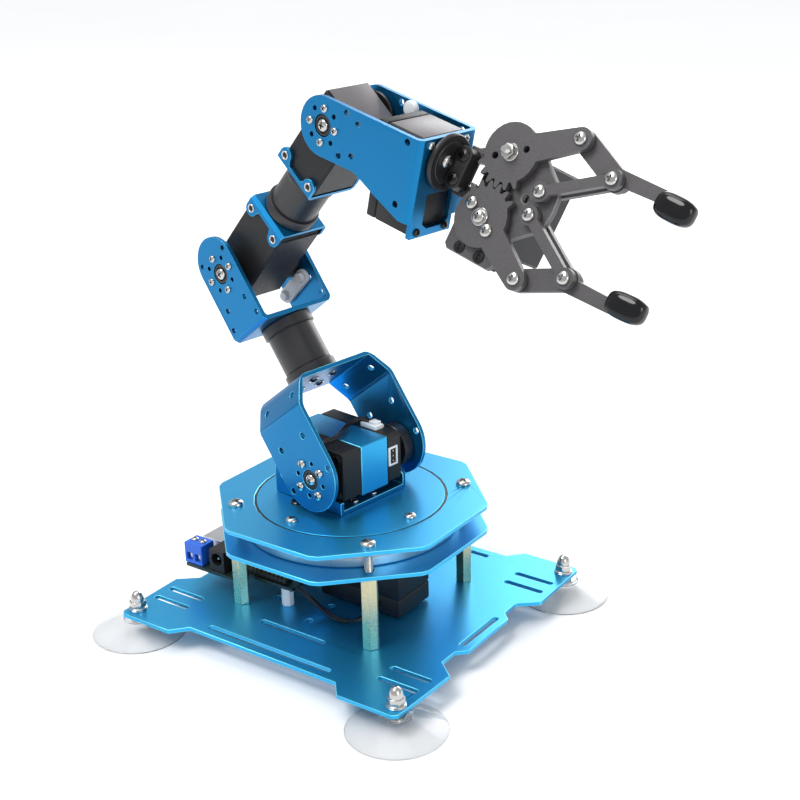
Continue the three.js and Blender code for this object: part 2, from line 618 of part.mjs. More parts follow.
function buildHand(forearm) {
  const hand = new THREE.Group();
  hand.position.z = FOREARM.length;
  hand.rotation.y = (FOREARM.angle - HAND_ANGLE) * DEG;
  forearm.add(hand);
  add(hand, 'hand_bracket', handBracket(), 'armBlue').position.y = HAND.shift;
  const inner = HAND.outer - SHEET_T - 0.1;
  add(hand, 'wrist_horn', horn(-SERVO_W / 2 - 0.15, HAND.shift - inner), 'black');
  add(hand, 'wrist_idler', horn(SERVO_W / 2 + 0.15, HAND.shift + inner), 'black');
  const w = SERVO_W / 2;
  const back = HAND.webFront - SHEET_T - 24.7;
  const front = HAND.webFront - SHEET_T - GAP;
  const x0 = HAND.servoTop;
  const body = chamferedBox(x0, x0 + SMALL_SERVO_L, -w, w, back, front, 1);
  const boss = rod(HAND.hornHoleR - 0.6, front - 1, ROLL_FACE - ROLL_HORN.thick - GAP, 28, HAND.rollAxis, 0);
  add(hand, 'roll_servo', join(body, boss), 'black');
  return hand;
}

// ---------- gripper ----------
// one gear with a sector of teeth; tooth centres lie at phase + k * pitch, angles in radians
function gearShape(phase, from, to) {
  const { teeth, pitchR, rimR } = GEAR;
  const pitch = 2 * Math.PI / teeth;
  const modul = 2 * pitchR / teeth;
  const rootR = pitchR - 1.25 * modul;
  const tipR = pitchR + 0.85 * modul;
  const flank = [[rootR, 0.36], [pitchR, 0.215], [tipR, 0.09]];
  const points = [];
  const put = (r, a) => points.push([r * Math.cos(a), r * Math.sin(a)]);
  const first = Math.ceil((from - phase) / pitch);
  const last = Math.floor((to - phase) / pitch);
  for (let k = first; k <= last; k += 1) {
    const a = phase + k * pitch;
    flank.forEach(([r, f]) => put(r, a - f * pitch));
    [...flank].reverse().forEach(([r, f]) => put(r, a + f * pitch));
  }
  const start = phase + last * pitch + 0.5 * pitch;
  const end = phase + first * pitch - 0.5 * pitch + 2 * Math.PI;
  const steps = 18;
  for (let i = 0; i <= steps; i += 1) put(rimR, start + (end - start) * i / steps);
  return polygon(points);
}

// gear and its link in one plate; side is +1 for the upper one and -1 for the lower one
function gearLink(side, phase) {
  const top = GEAR.top;
  const low = top - GEAR.thick;
  const [from, to] = side > 0 ? [-172 * DEG, -42 * DEG] : [42 * DEG, 146 * DEG];
  const gear = prism(gearShape(phase, from, to), low, top);
  const dx = LINK.length * Math.cos(LINK.angle);
  const dy = side * LINK.length * Math.sin(LINK.angle);
  const bar = prism(barShape(0, 0, dx, dy, LINK.gearHalf, LINK.endR), low, top, 10);
  const holeA = side > 0 ? 30 * DEG : -30 * DEG;
  const hole = (r) => rod(1.5, low - 1, top + 1, 10, r * Math.cos(holeA), r * Math.sin(holeA));
  return cut(join(gear, bar), hole(7), hole(-7));
}

// pair of slim bars, one in front of the finger and one behind it, on two long pins
function supportLink(side) {
  const top = GEAR.top;
  const low = top - GEAR.thick;
  const dx = LINK.length * Math.cos(LINK.angle);
  const dy = side * LINK.length * Math.sin(LINK.angle);
  const { endR, half, rearR, pinR } = SUPPORT;
  const rearTop = PALM.top - PALM.thick - GAP;
  const rearLow = rearTop - GEAR.thick;
  const bars = [prism(barShape(0, 0, dx, dy, half, half), low, top, 6),
    prism(barShape(0, 0, dx, dy, half, half), rearLow, rearTop, 6)];
  const ends = [[0, 0], [dx, dy]].flatMap(([x, y]) => [rod(endR, low, top, 20, x, y),
    rod(rearR, rearLow, rearTop, 18, x, y), rod(pinR, rearTop - 1, low + 1, 12, x, y)]);
  return join(...bars, ...ends);
}

// finger plate, origin at its pivot on the gear link
function finger(side) {
  const top = FINGER.top;
  const low = top - FINGER.thick;
  const px = GEAR.x + LINK.length * Math.cos(LINK.angle);
  const py = GEAR.pitchR + LINK.length * Math.sin(LINK.angle);
  const cx = SUPPORT.x - GEAR.x;
  const cy = side * (SUPPORT.y - GEAR.pitchR);
  const tipY = side * (FINGER.tipY - py);
  const tipX = FINGER.tipEnd - px;
  const bar = prism(barShape(0, 0, cx, cy, FINGER.endR, FINGER.endR), low, top, 8);
  const tip = prism(barShape(cx, tipY, tipX, tipY, FINGER.tipHalf + 0.6, FINGER.tipHalf), low, top, 6);
  return cut(join(bar, tip), rod(SUPPORT.holeR, low - 1, top + 1, 16, cx, cy));
}

// solid rubber boot over the fingertip, with the pocket that the finger fills
function fingertipCap(side) {
  const { x0, x1, y0, y1, thick } = TIP_CAP;
  const px = GEAR.x + LINK.length * Math.cos(LINK.angle);
  const py = GEAR.pitchR + LINK.length * Math.sin(LINK.angle);
  const mid = FINGER.top - FINGER.thick / 2;
  const outline = [[x0, 17], [x0 + 3.2, y0 + 0.4], [x0 + 9, y0], [x1 - 2.6, y0], [x1, y0 + 3.2], [x1 - 0.6, y0 + 7],
    [x1 - 6, y1 - 0.6], [x0 + 8, y1], [x0 + 3, y1], [x0 + 0.6, y1 - 2.4]];
  const shape = polygon(outline.map(([x, y]) => [x - px, side * (y - py)]));
  const bevel = 2.2;
  const body = new THREE.ExtrudeGeometry(shape, {
    depth: thick - 2 * bevel, bevelEnabled: true, bevelThickness: bevel, bevelSize: bevel, bevelOffset: -bevel,
    bevelSegments: 2, curveSegments: 4,
  }).translate(0, 0, mid - thick / 2 + bevel);
  const pocketX = FINGER.tipEnd - px + FINGER.tipHalf + GAP;
  const tipY = side * (FINGER.tipY - py);
  const half = FINGER.tipHalf + 0.9;
  const depth = FINGER.thick / 2 + GAP;
  const pocket = box(x0 - px - 2, pocketX, tipY - half, tipY + half, mid - depth, mid + depth);
  return cut(body, pocket);
}

function palmPlate() {
  const top = PALM.top;
  const low = top - PALM.thick;
  const outline = [[1.2, -10.5], [8, -10.5], [8.6, -14], [8.6, -29], [10.6, -31], [32, -31.5], [33.8, -30], [36.2, -17],
    [44.5, -10.5], [47.6, -7.5], [48.4, 0], [47.6, 7.5], [44.5, 10.5], [36.2, 17], [34, 20], [9, 20], [8.6, 14],
    [8, 10.5], [1.2, 10.5]];
  const shape = polygon(outline);
  shape.holes.push(circle(34.6, 0, 1.7));
  for (const side of [-1, 1]) shape.holes.push(circle(SUPPORT.x, side * SUPPORT.y, SUPPORT.holeR));
  const notch = polygon([[6.5, -5], [11, -5], [14, -2], [14, 2.5], [11, 5], [6.5, 4.5]]);
  shape.holes.push(new THREE.Path(notch.getPoints().reverse()));
  return prism(shape, low, top, 6);
}

function buildGripper(hand) {
  const gripper = new THREE.Group();
  gripper.position.set(HAND.rollAxis, 0, ROLL_FACE);
  // local X runs along the roll axis; local Y starts pointing up (-X of the hand) before the roll
  const basis = new THREE.Matrix4().makeBasis(
    new THREE.Vector3(0, 0, 1), new THREE.Vector3(-1, 0, 0), new THREE.Vector3(0, -1, 0));
  const roll = new THREE.Matrix4().makeRotationX(ROLL_ANGLE);
  gripper.setRotationFromMatrix(basis.multiply(roll));
  hand.add(gripper);

  const hornGeometry = rod(ROLL_HORN.r, -ROLL_HORN.thick, 0, 32).rotateY(Math.PI / 2);
  add(gripper, 'roll_horn', hornGeometry, 'black');
  const blockLow = PALM.top + GAP;
  const block = chamferedBox(GAP, 7.9, -9, 8.8, blockLow, 0.2, 2);
  add(gripper, 'gripper_mount_block', block, 'black');
  add(gripper, 'palm_plate', palmPlate(), 'grip');

  const servoTop = PALM.top - PALM.thick - GAP;
  const earLow = servoTop - 2.6;
  const gx = GEAR.x;
  const servo = chamferedBox(gx - 12, gx + 12, -24.1, 16.2, servoTop - 29.5, servoTop, 1);
  const ears = box(gx - 11.6, gx + 11.6, -31, 19.6, earLow, servoTop);
  add(gripper, 'gripper_servo', join(servo, ears), 'black');

  const linkEnd = new THREE.Vector3(LINK.length * Math.cos(LINK.angle), LINK.length * Math.sin(LINK.angle), 0);
  const pitch = 2 * Math.PI / GEAR.teeth;
  for (const [name, side, phase] of [['upper', 1, -Math.PI / 2], ['lower', -1, Math.PI / 2 + pitch / 2]]) {
    const link = add(gripper, side > 0 ? 'driven_gear_link' : 'drive_gear_link', gearLink(side, phase), 'grip');
    link.position.set(gx, side * GEAR.pitchR, 0);
    const support = add(gripper, `${name}_support_link`, supportLink(side), 'grip');
    support.position.set(SUPPORT.x, side * SUPPORT.y, 0);
    const at = new THREE.Vector3(gx + linkEnd.x, side * (GEAR.pitchR + linkEnd.y), 0);
    add(gripper, `${name}_finger`, finger(side), 'grip').position.copy(at);
    add(gripper, `${name}_fingertip_cap`, fingertipCap(side), 'rubber').position.copy(at);
  }
}

buildBase();
const table = buildTurntable();
buildGripper(buildHand(buildForearm(buildUpperArm(table))));

export default group;
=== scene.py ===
"""Desktop robot arm: materials, screws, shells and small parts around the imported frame.

Lengths are millimetres in the axes of one of the places below, until piece() turns them into metres.
"""
import json
import math

import bmesh
import bpy
from mathutils import Matrix, Vector

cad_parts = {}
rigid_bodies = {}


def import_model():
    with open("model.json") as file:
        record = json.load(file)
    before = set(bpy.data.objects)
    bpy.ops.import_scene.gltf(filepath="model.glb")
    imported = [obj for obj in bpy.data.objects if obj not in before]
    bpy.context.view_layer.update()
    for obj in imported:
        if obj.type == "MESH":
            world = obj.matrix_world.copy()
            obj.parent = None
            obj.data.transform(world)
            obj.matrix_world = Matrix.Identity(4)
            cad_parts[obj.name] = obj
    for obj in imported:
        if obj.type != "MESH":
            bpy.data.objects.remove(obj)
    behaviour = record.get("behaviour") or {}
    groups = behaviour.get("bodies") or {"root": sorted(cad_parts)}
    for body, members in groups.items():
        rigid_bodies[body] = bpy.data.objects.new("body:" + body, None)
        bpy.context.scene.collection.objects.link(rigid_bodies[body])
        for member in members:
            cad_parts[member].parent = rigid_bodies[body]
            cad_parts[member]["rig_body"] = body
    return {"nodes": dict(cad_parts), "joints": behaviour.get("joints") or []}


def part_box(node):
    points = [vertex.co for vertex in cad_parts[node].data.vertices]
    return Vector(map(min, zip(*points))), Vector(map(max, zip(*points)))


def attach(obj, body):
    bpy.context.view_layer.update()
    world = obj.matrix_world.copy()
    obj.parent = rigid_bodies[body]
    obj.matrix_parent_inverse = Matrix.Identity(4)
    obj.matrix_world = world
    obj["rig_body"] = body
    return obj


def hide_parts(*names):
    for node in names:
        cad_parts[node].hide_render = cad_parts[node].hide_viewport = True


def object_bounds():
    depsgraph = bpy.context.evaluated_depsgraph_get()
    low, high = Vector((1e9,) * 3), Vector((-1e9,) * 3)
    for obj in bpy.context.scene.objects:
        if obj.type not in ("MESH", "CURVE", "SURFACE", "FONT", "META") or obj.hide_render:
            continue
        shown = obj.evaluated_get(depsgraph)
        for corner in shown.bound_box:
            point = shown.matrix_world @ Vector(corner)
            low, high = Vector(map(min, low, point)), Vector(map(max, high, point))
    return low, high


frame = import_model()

MM = 0.001
cad_low, cad_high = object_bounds()
collection = bpy.context.scene.collection
AX_X, AX_Y, AX_Z = Vector((1, 0, 0)), Vector((0, 1, 0)), Vector((0, 0, 1))


# ---------- camera ----------
CAMERA_AZIMUTH, CAMERA_ELEVATION, CAMERA_ROLL = (math.radians(a) for a in (35.83, 21.08, -1.34))
CAMERA_AIM = Vector((22.6, 9.35, 100.85)) * MM
CAMERA_DISTANCE = 651.4 * MM
CAMERA_LENS = 65.22
SENSOR_WIDTH = 36


def make_camera():
    """Puts the camera at the photograph's viewing angle, round the aim point."""
    side, ahead = math.sin(CAMERA_AZIMUTH), math.cos(CAMERA_AZIMUTH)
    level = math.cos(CAMERA_ELEVATION)
    back = Vector((side * level, -ahead * level, math.sin(CAMERA_ELEVATION)))
    right = Vector((ahead, side, 0))
    up = back.cross(right)
    rolled_right = right * math.cos(CAMERA_ROLL) + up * math.sin(CAMERA_ROLL)
    rolled_up = up * math.cos(CAMERA_ROLL) - right * math.sin(CAMERA_ROLL)
    turn = Matrix((rolled_right, rolled_up, back)).transposed().to_4x4()
    data = bpy.data.cameras.new("camera")
    data.sensor_width = SENSOR_WIDTH
    data.lens = CAMERA_LENS
    data.clip_start = 0.05
    data.clip_end = 20
    camera = bpy.data.objects.new("camera", data)
    camera.matrix_world = Matrix.Translation(CAMERA_AIM + back * CAMERA_DISTANCE) @ turn
    collection.objects.link(camera)
    bpy.context.scene.camera = camera


make_camera()

# ---------- places, from the frame's joints ----------
joints = {j["name"]: j for j in frame["joints"]}


def joint_at(name):
    return Vector(joints[name]["pos_m"])


def place(origin, x, y, z):
    """Matrix from local millimetres, with the given origin and axes, to the shared frame in metres."""
    m = Matrix((x, y, z)).transposed().to_4x4() @ Matrix.Scale(MM, 4)
    m.translation = origin
    return m


pitch = Vector(joints["shoulder_pitch"]["axis"]).normalized()
shoulder, elbow, wrist = (joint_at(n) for n in ("shoulder_pitch", "elbow_pitch", "wrist_pitch"))
roll_axis = Vector(joints["wrist_roll"]["axis"]).normalized()
palm_normal = Vector(joints["gripper_drive"]["axis"]).normalized()
arm_axis = (elbow - shoulder).normalized()
forearm_axis = (wrist - elbow).normalized()

BASE = place(Vector((0, 0, 0)), AX_X, AX_Y, AX_Z)
TABLE = place(Vector((0, 0, 0)), pitch.cross(AX_Z), pitch, AX_Z)
ARM = place(shoulder, pitch.cross(arm_axis), pitch, arm_axis)
ELBOW = place(elbow, pitch.cross(arm_axis), pitch, arm_axis)
FOREARM = place(elbow, pitch.cross(forearm_axis), pitch, forearm_axis)
HAND = place(wrist, pitch.cross(roll_axis), pitch, roll_axis)
GRIP = place(joint_at("wrist_roll"), roll_axis, palm_normal.cross(roll_axis), palm_normal)


def shift(x, y, z):
    return Matrix.Translation((x, y, z))


def turned(degrees):
    return Matrix.Rotation(math.radians(degrees), 4, "Z")


def facing(axis):
    """Turns local Z to the given local direction."""
    return AX_Z.rotation_difference(Vector(axis)).to_matrix().to_4x4()


# ---------- materials ----------
NOISE_LOW, NOISE_HIGH = 0.3, 0.7  # nearly all of a noise texture's values lie between these


class Shader:
    """A material with one Principled shader and short calls for the nodes around it."""

    def __init__(self, name, **values):
        self.material = bpy.data.materials.new(name)
        self.material.use_nodes = True
        self.tree = self.material.node_tree
        self.bsdf = self.tree.nodes["Principled BSDF"]
        for key, value in values.items():
            is_colour = isinstance(value, tuple)
            self.bsdf.inputs[key.replace("_", " ")].default_value = (*value, 1) if is_colour else value
        self.coords = self.tree.nodes.new("ShaderNodeTexCoord").outputs["Object"]

    def link(self, source, target):
        self.tree.links.new(source, target)

    def stretched(self, scale):
        node = self.tree.nodes.new("ShaderNodeMapping")
        node.inputs["Scale"].default_value = scale
        self.link(self.coords, node.inputs["Vector"])
        return node.outputs["Vector"]

    def noise(self, scale, detail=3, roughness=0.55, stretch=None):
        node = self.tree.nodes.new("ShaderNodeTexNoise")
        node.inputs["Scale"].default_value = scale
        node.inputs["Detail"].default_value = detail
        node.inputs["Roughness"].default_value = roughness
        self.link(self.stretched(stretch) if stretch else self.coords, node.inputs["Vector"])
        return node.outputs["Fac"]

    def voronoi(self, scale):
        node = self.tree.nodes.new("ShaderNodeTexVoronoi")
        node.inputs["Scale"].default_value = scale
        self.link(self.coords, node.inputs["Vector"])
        return node.outputs["Distance"]

    def ranged(self, value, low, high):
        node = self.tree.nodes.new("ShaderNodeMapRange")
        node.inputs["From Min"].default_value = NOISE_LOW
        node.inputs["From Max"].default_value = NOISE_HIGH
        node.inputs["To Min"].default_value = low
        node.inputs["To Max"].default_value = high
        self.link(value, node.inputs["Value"])
        return node.outputs["Result"]

    def ramp(self, value, stops):
        node = self.tree.nodes.new("ShaderNodeValToRGB")
        elements = node.color_ramp.elements
        while len(elements) < len(stops):
            elements.new(0.5)
        for element, (position, colour) in zip(elements, stops):
            element.position = position
            element.color = (*colour, 1)
        self.link(value, node.inputs["Fac"])
        return node.outputs["Color"]

    def colour(self, value, stops):
        self.link(self.ramp(value, stops), self.bsdf.inputs["Base Color"])

    def rough(self, value, low, high):
        self.link(self.ranged(value, low, high), self.bsdf.inputs["Roughness"])

    def bump(self, value, depth_mm):
        """Adds a bump on top of any bump that is there already."""
        node = self.tree.nodes.new("ShaderNodeBump")
        node.inputs["Distance"].default_value = depth_mm * MM
        node.inputs["Strength"].default_value = 1.0
        self.link(value, node.inputs["Height"])
        normal = self.bsdf.inputs["Normal"]
        if normal.is_linked:
            self.link(normal.links[0].from_socket, node.inputs["Normal"])
        self.link(node.outputs["Normal"], normal)


def around(colour, spread):
    """Two stops, a little darker and a little lighter than a colour."""
    darker = tuple(c * (1 - spread) for c in colour)
    lighter = tuple(min(1, c * (1 + spread)) for c in colour)
    return [(NOISE_LOW, darker), (NOISE_HIGH, lighter)]


def anodised(name, colour, roughness, coat=0.3):
    s = Shader(name, Metallic=0.85, Roughness=roughness, Coat_Weight=coat, Coat_Roughness=0.3)
    s.colour(s.noise(18, 2), around(colour, 0.04))
    s.rough(s.noise(900, 4), roughness - 0.04, roughness + 0.04)
    s.bump(s.noise(5200, 2, 0.6), 0.004)
    s.bump(s.noise(2600, 3), 0.003)
    return s.material


def moulded(name, colour, roughness, grain, depth, spread=0.12, **values):
    s = Shader(name, Roughness=roughness, **values)
    s.colour(s.noise(60, 3), around(colour, spread))
    s.rough(s.noise(1100, 4), roughness - 0.06, roughness + 0.08)
    s.bump(s.noise(grain, 3, 0.65), depth)
    return s.material


def plated(name, colour, roughness, streak=(40, 40, 900)):
    s = Shader(name, Metallic=1.0, Roughness=roughness)
    s.colour(s.noise(160, 3), around(colour, 0.07))
    s.rough(s.noise(2500, 4), roughness - 0.04, roughness + 0.08)
    s.bump(s.noise(1, 3, stretch=streak), 0.006)
    return s.material


def zinc_standoff():
    s = Shader("yellow_zinc", Metallic=1.0, Roughness=0.3)
    tint = s.noise(55, 3, stretch=(1, 1, 0.7))
    greenish, yellow, amber = (0.52, 0.52, 0.34), (0.62, 0.56, 0.36), (0.66, 0.55, 0.34)
    s.colour(tint, [(NOISE_LOW, greenish), (0.5, yellow), (NOISE_HIGH, amber)])
    s.rough(s.noise(1200, 4), 0.24, 0.36)
    s.bump(s.noise(1, 3, stretch=(1800, 1800, 60)), 0.01)
    return s.material


def coated_metal(name, grey, roughness):
    s = Shader(name, Metallic=0.35, Roughness=roughness)
    s.colour(s.noise(2200, 4, 0.7), around((grey * 1.03, grey * 0.97, grey), 0.26))
    s.rough(s.noise(2400, 4), roughness - 0.08, roughness + 0.08)
    s.bump(s.noise(2600, 4, 0.65), 0.05)
    s.bump(s.voronoi(2300), 0.02)
    return s.material


def clear_vinyl():
    s = Shader("clear_vinyl", Base_Color=(0.985, 0.99, 0.995), Roughness=0.1, IOR=1.3,
               Transmission_Weight=0.94)
    s.rough(s.noise(300, 3), 0.09, 0.2)
    s.bump(s.noise(140, 2), 0.05)
    return s.material


def frosted_nylon():
    s = Shader("frosted_nylon", Base_Color=(0.86, 0.88, 0.9), Roughness=0.42, IOR=1.5,
               Transmission_Weight=0.35, Subsurface_Weight=0.4)
    s.bsdf.inputs["Subsurface Radius"].default_value = (2 * MM, 2 * MM, 2 * MM)
    s.rough(s.noise(900, 3), 0.36, 0.5)
    s.bump(s.noise(700, 3), 0.02)
    return s.material


def circuit_board():
    s = Shader("solder_mask", Roughness=0.35)
    traces = s.noise(1, 0, stretch=(900, 90, 1))
    mask, copper = (0.012, 0.02, 0.017), (0.02, 0.045, 0.03)
    s.colour(traces, [(0.44, mask), (0.5, copper), (0.56, mask)])
    s.rough(s.noise(700, 3), 0.28, 0.42)
    s.bump(traces, 0.03)
    return s.material


def dipped_rubber():
    s = Shader("dipped_rubber", Specular_IOR_Level=0.1, Coat_Weight=0.6, Coat_Roughness=0.04)
    s.colour(s.noise(150, 3), around((0.003, 0.003, 0.0035), 0.3))
    s.rough(s.noise(240, 3), 0.14, 0.26)
    s.bump(s.noise(130, 2), 0.09)
    return s.material


def pale_floor():
    s = Shader("pale_floor", Roughness=0.7)
    s.colour(s.noise(3, 4), around((0.86, 0.865, 0.87), 0.01))
    s.bump(s.noise(220, 3), 0.05)
    return s.material


DECK_BLUE = (0.028, 0.42, 0.78)
ARM_BLUE = (0.004, 0.185, 0.43)
# Lighter cyan for the bevelled edges of the blue parts: painted highlight where the rounded edges catch
# the light.
HIGHLIGHT_EDGE_BLUE = (0.17, 0.78, 1.0)
SERVO_BLACK = (0.0105, 0.0103, 0.011)
MATERIALS = {
    "deck": anodised("deck_anodised_blue", DECK_BLUE, 0.35, 0.2),
    "arm": anodised("arm_anodised_blue", ARM_BLUE, 0.34, 0.12),
    "edge": anodised("painted_highlight_blue", HIGHLIGHT_EDGE_BLUE, 0.34),
    "servo": moulded("servo_plastic", SERVO_BLACK, 0.42, 2600, 0.03, Specular_IOR_Level=0.32),
    "nylon": moulded("black_nylon", (0.012, 0.012, 0.013), 0.36, 1700, 0.03),
    "tube": moulded("black_tube", (0.022, 0.0215, 0.023), 0.33, 2300, 0.015),
    "jacket": moulded("cable_jacket", (0.008, 0.008, 0.009), 0.4, 1200, 0.02),
    "white": moulded("white_nylon", (0.8, 0.82, 0.83), 0.42, 1500, 0.02, 0.03),
    # Grey patch on the servo cases: painted sheen, a grazing reflection.
    "painted_sheen": moulded("painted_sheen_grey", (0.135, 0.125, 0.13), 0.34, 900, 0.004, 0.03),
    "terminal": moulded("blue_plastic", (0.012, 0.12, 0.62), 0.34, 1500, 0.02, 0.06),
    "chip": moulded("chip_epoxy", (0.015, 0.015, 0.015), 0.5, 3000, 0.02),
    "chrome": plated("bright_plate", (0.56, 0.55, 0.53), 0.2),
    "steel": plated("satin_steel", (0.62, 0.63, 0.65), 0.3, (60, 60, 700)),
    "black_screw": plated("black_oxide", (0.045, 0.044, 0.045), 0.32),
    "gold": plated("contact_gold", (0.85, 0.62, 0.25), 0.25),
    "zinc": zinc_standoff(),
    "grip": coated_metal("coated_metal", 0.088, 0.42),
    # Lighter grey for the gripper's bevelled edges: painted highlight on the rounded edges.
    "grip_highlight_edge": coated_metal("coated_metal_painted_highlight", 0.2, 0.36),
    "clear": clear_vinyl(),
    "frosted": frosted_nylon(),
    "board": circuit_board(),
    "rubber": dipped_rubber(),
}
SHARP = math.radians(40)


# ---------- mesh helpers: all shapes are made in millimetres ----------
def mesh_of(bm, name="part"):
    mesh = bpy.data.meshes.new(name)
    bm.normal_update()
    bm.to_mesh(mesh)
    bm.free()
    return mesh


def circle(radius, height, sides):
    """Points of a level circle about Z."""
    turns = (2 * math.pi * i / sides for i in range(sides))
    return [(radius * math.cos(a), radius * math.sin(a), height) for a in turns]


def lathe(profile, sides=48):
    """Solid of revolution about Z from (radius, height) points, the first and the last on the axis."""
    bm = bmesh.new()
    rings = []
    for radius, height in profile:
        points = circle(radius, height, sides) if radius > 0 else [(0, 0, height)]
        rings.append([bm.verts.new(p) for p in points])
    for a, b in zip(rings, rings[1:]):
        for i in range(sides):
            k = (i + 1) % sides
            corners = [a[i % len(a)], a[k % len(a)], b[k % len(b)], b[i % len(b)]]
            unique = list(dict.fromkeys(corners))
            if len(unique) > 2:
                bm.faces.new(unique)
    bmesh.ops.recalc_face_normals(bm, faces=bm.faces)
    return mesh_of(bm)


def ring(profile, sides=48):
    """Closed ring about Z from a closed (radius, height) outline."""
    bm = bmesh.new()
    rings = [[bm.verts.new(p) for p in circle(radius, height, sides)] for radius, height in profile]
    for a, b in zip(rings, rings[1:] + rings[:1]):
        for i in range(sides):
            k = (i + 1) % sides
            bm.faces.new((a[i], a[k], b[k], b[i]))
    bmesh.ops.recalc_face_normals(bm, faces=bm.faces)
    return mesh_of(bm)


def tapered(low_points, high_points, z0, z1):
    """Closed bmesh between a low outline and a high outline with as many points."""
    bm = bmesh.new()
    low = [bm.verts.new((x, y, z0)) for x, y in low_points]
    high = [bm.verts.new((x, y, z1)) for x, y in high_points]
    bm.faces.new(low[::-1])
    bm.faces.new(high)
    for i in range(len(low)):
        k = (i + 1) % len(low)
        bm.faces.new((low[i], low[k], high[k], high[i]))
    bmesh.ops.recalc_face_normals(bm, faces=bm.faces)
    return bm


def prism(points, z0, z1, bevel=0.0):
    bm = tapered(points, points, z0, z1)
    if bevel:
        edges = [e for e in bm.edges if e.calc_face_angle(0) > SHARP]
        bmesh.ops.bevel(bm, geom=edges, offset=bevel, segments=3, profile=0.5, affect="EDGES")
    return mesh_of(bm)


def box(x0, x1, y0, y1, z0, z1, bevel=0.3):
    return prism([(x0, y0), (x1, y0), (x1, y1), (x0, y1)], z0, z1, bevel)


def regular(sides, across_flats):
    """Outline of a regular polygon."""
    radius = across_flats / 2 / math.cos(math.pi / sides)
    return [(x, y) for x, y, _ in circle(radius, 0, sides)]


def carved(solid, tool):
    """The solid's mesh with the tool cut out of it."""
    target = bpy.data.objects.new("target", solid)
    cutter = bpy.data.objects.new("cutter", tool)
    collection.objects.link(target)
    collection.objects.link(cutter)
    modifier = target.modifiers.new("cut", "BOOLEAN")
    modifier.operation = "DIFFERENCE"
    modifier.solver = "EXACT"
    modifier.object = cutter
    bpy.context.view_layer.update()
    evaluated = target.evaluated_get(bpy.context.evaluated_depsgraph_get())
    mesh = bpy.data.meshes.new_from_object(evaluated)
    bpy.data.objects.remove(target)
    bpy.data.objects.remove(cutter)
    return mesh


def moved(mesh, matrix):
    copy = mesh.copy()
    copy.transform(matrix)
    return copy


def shade(mesh):
    """Smooth shading with sharp edges kept sharp."""
    bm = bmesh.new()
    bm.from_mesh(mesh)
    for face in bm.faces:
        face.smooth = True
    for edge in bm.edges:
        edge.smooth = edge.calc_face_angle(math.pi) < SHARP
    bm.to_mesh(mesh)
    bm.free()


def piece(name, body, look, parts, replaces=()):
    """One object from (mesh, matrix) parts in local millimetres; it rides on a body."""
    bm = bmesh.new()
    for mesh, matrix in parts:
        copy = moved(mesh, matrix)
        bm.from_mesh(copy)
        bpy.data.meshes.remove(copy)
    mesh = mesh_of(bm, name)
    shade(mesh)
    mesh.materials.append(MATERIALS[look])
    obj = bpy.data.objects.new(name, mesh)
    collection.objects.link(obj)
    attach(obj, body)
    if replaces:
        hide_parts(*replaces)


LEAST_BEND, MOST_BEND = math.radians(20), math.radians(50)
LARGE_FLAT = 12 * MM * MM


def round_bends(bm, radius):
    """Rounds the shallow bends between a folded sheet's large flats."""
    bends = []
    for edge in bm.edges:
        large = len(edge.link_faces) == 2 and min(f.calc_area() for f in edge.link_faces) > LARGE_FLAT
        if large and LEAST_BEND < edge.calc_face_angle(0) < MOST_BEND:
            bends.append(edge)
    bmesh.ops.bevel(bm, geom=bends, offset=radius * MM, segments=4, profile=0.5, affect="EDGES")


def clean_copy(node, bend):
    """The CAD node's mesh with its flat faces whole again and any folds rounded."""
    bm = bmesh.new()
    bm.from_mesh(frame["nodes"][node].data)
    bmesh.ops.remove_doubles(bm, verts=bm.verts, dist=0.002 * MM)
    bmesh.ops.dissolve_limit(bm, angle_limit=math.radians(0.7), verts=bm.verts, edges=bm.edges)
    if bend:
        round_bends(bm, bend)
    bmesh.ops.triangulate(bm, faces=[f for f in bm.faces if len(f.verts) > 4])
    mesh = mesh_of(bm, node + "_finished")
    for attribute in list(mesh.attributes):
        if attribute.name in ("custom_normal", "UVMap"):
            mesh.attributes.remove(attribute)
    shade(mesh)
    mesh.materials.clear()
    return mesh


def dressed(node, look, bevel=0.3, edge=None, segments=2, bend=0.0):
    """The CAD node's own shape with softened edges, standing for the node; with an edge look the softened
    edges take a lighter second material, a painted highlight.
    """
    mesh = clean_copy(node, bend)
    mesh.materials.append(MATERIALS[look])
    obj = bpy.data.objects.new(node + "_finished", mesh)
    collection.objects.link(obj)
    modifier = obj.modifiers.new("soft_edges", "BEVEL")
    modifier.width = bevel * MM
    modifier.segments = segments
    modifier.limit_method = "ANGLE"
    modifier.angle_limit = math.radians(50)
    modifier.harden_normals = True
    modifier.miter_outer = "MITER_ARC"
    # A lighter second material on the softened edges: painted highlight.
    if edge:
        mesh.materials.append(MATERIALS[edge])
        modifier.material = 1
    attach(obj, frame["nodes"][node]["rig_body"])
    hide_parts(node)


# ---------- fasteners ----------
def cross_recess(half, depth, top):
    """Tapered cross that a screwdriver fits, reaching down from the height top."""
    wide = half * 0.27
    outline = []
    for i in range(4):
        a = i * math.pi / 2
        c, s = math.cos(a), math.sin(a)
        for u, v in ((half, -wide), (half, wide), (wide, wide)):
            outline.append((u * c - v * s, u * s + v * c))
    bottom = [(x * 0.62, y * 0.62) for x, y in outline]
    return mesh_of(tapered(bottom, outline, top - depth, top + depth))


def pan_head(radius, height):
    side = height * 0.35
    profile = [(0, 0), (radius * 0.97, 0), (radius, height * 0.1), (radius * 0.98, side)]
    steps = 6
    for i in range(1, steps):
        a = i / steps * math.pi / 2
        profile.append((radius * 0.98 * math.cos(a) ** 0.8, side + (height - side) * math.sin(a)))
    profile.append((0, height))
    return carved(lathe(profile, 32), cross_recess(radius * 0.68, height * 0.85, height))


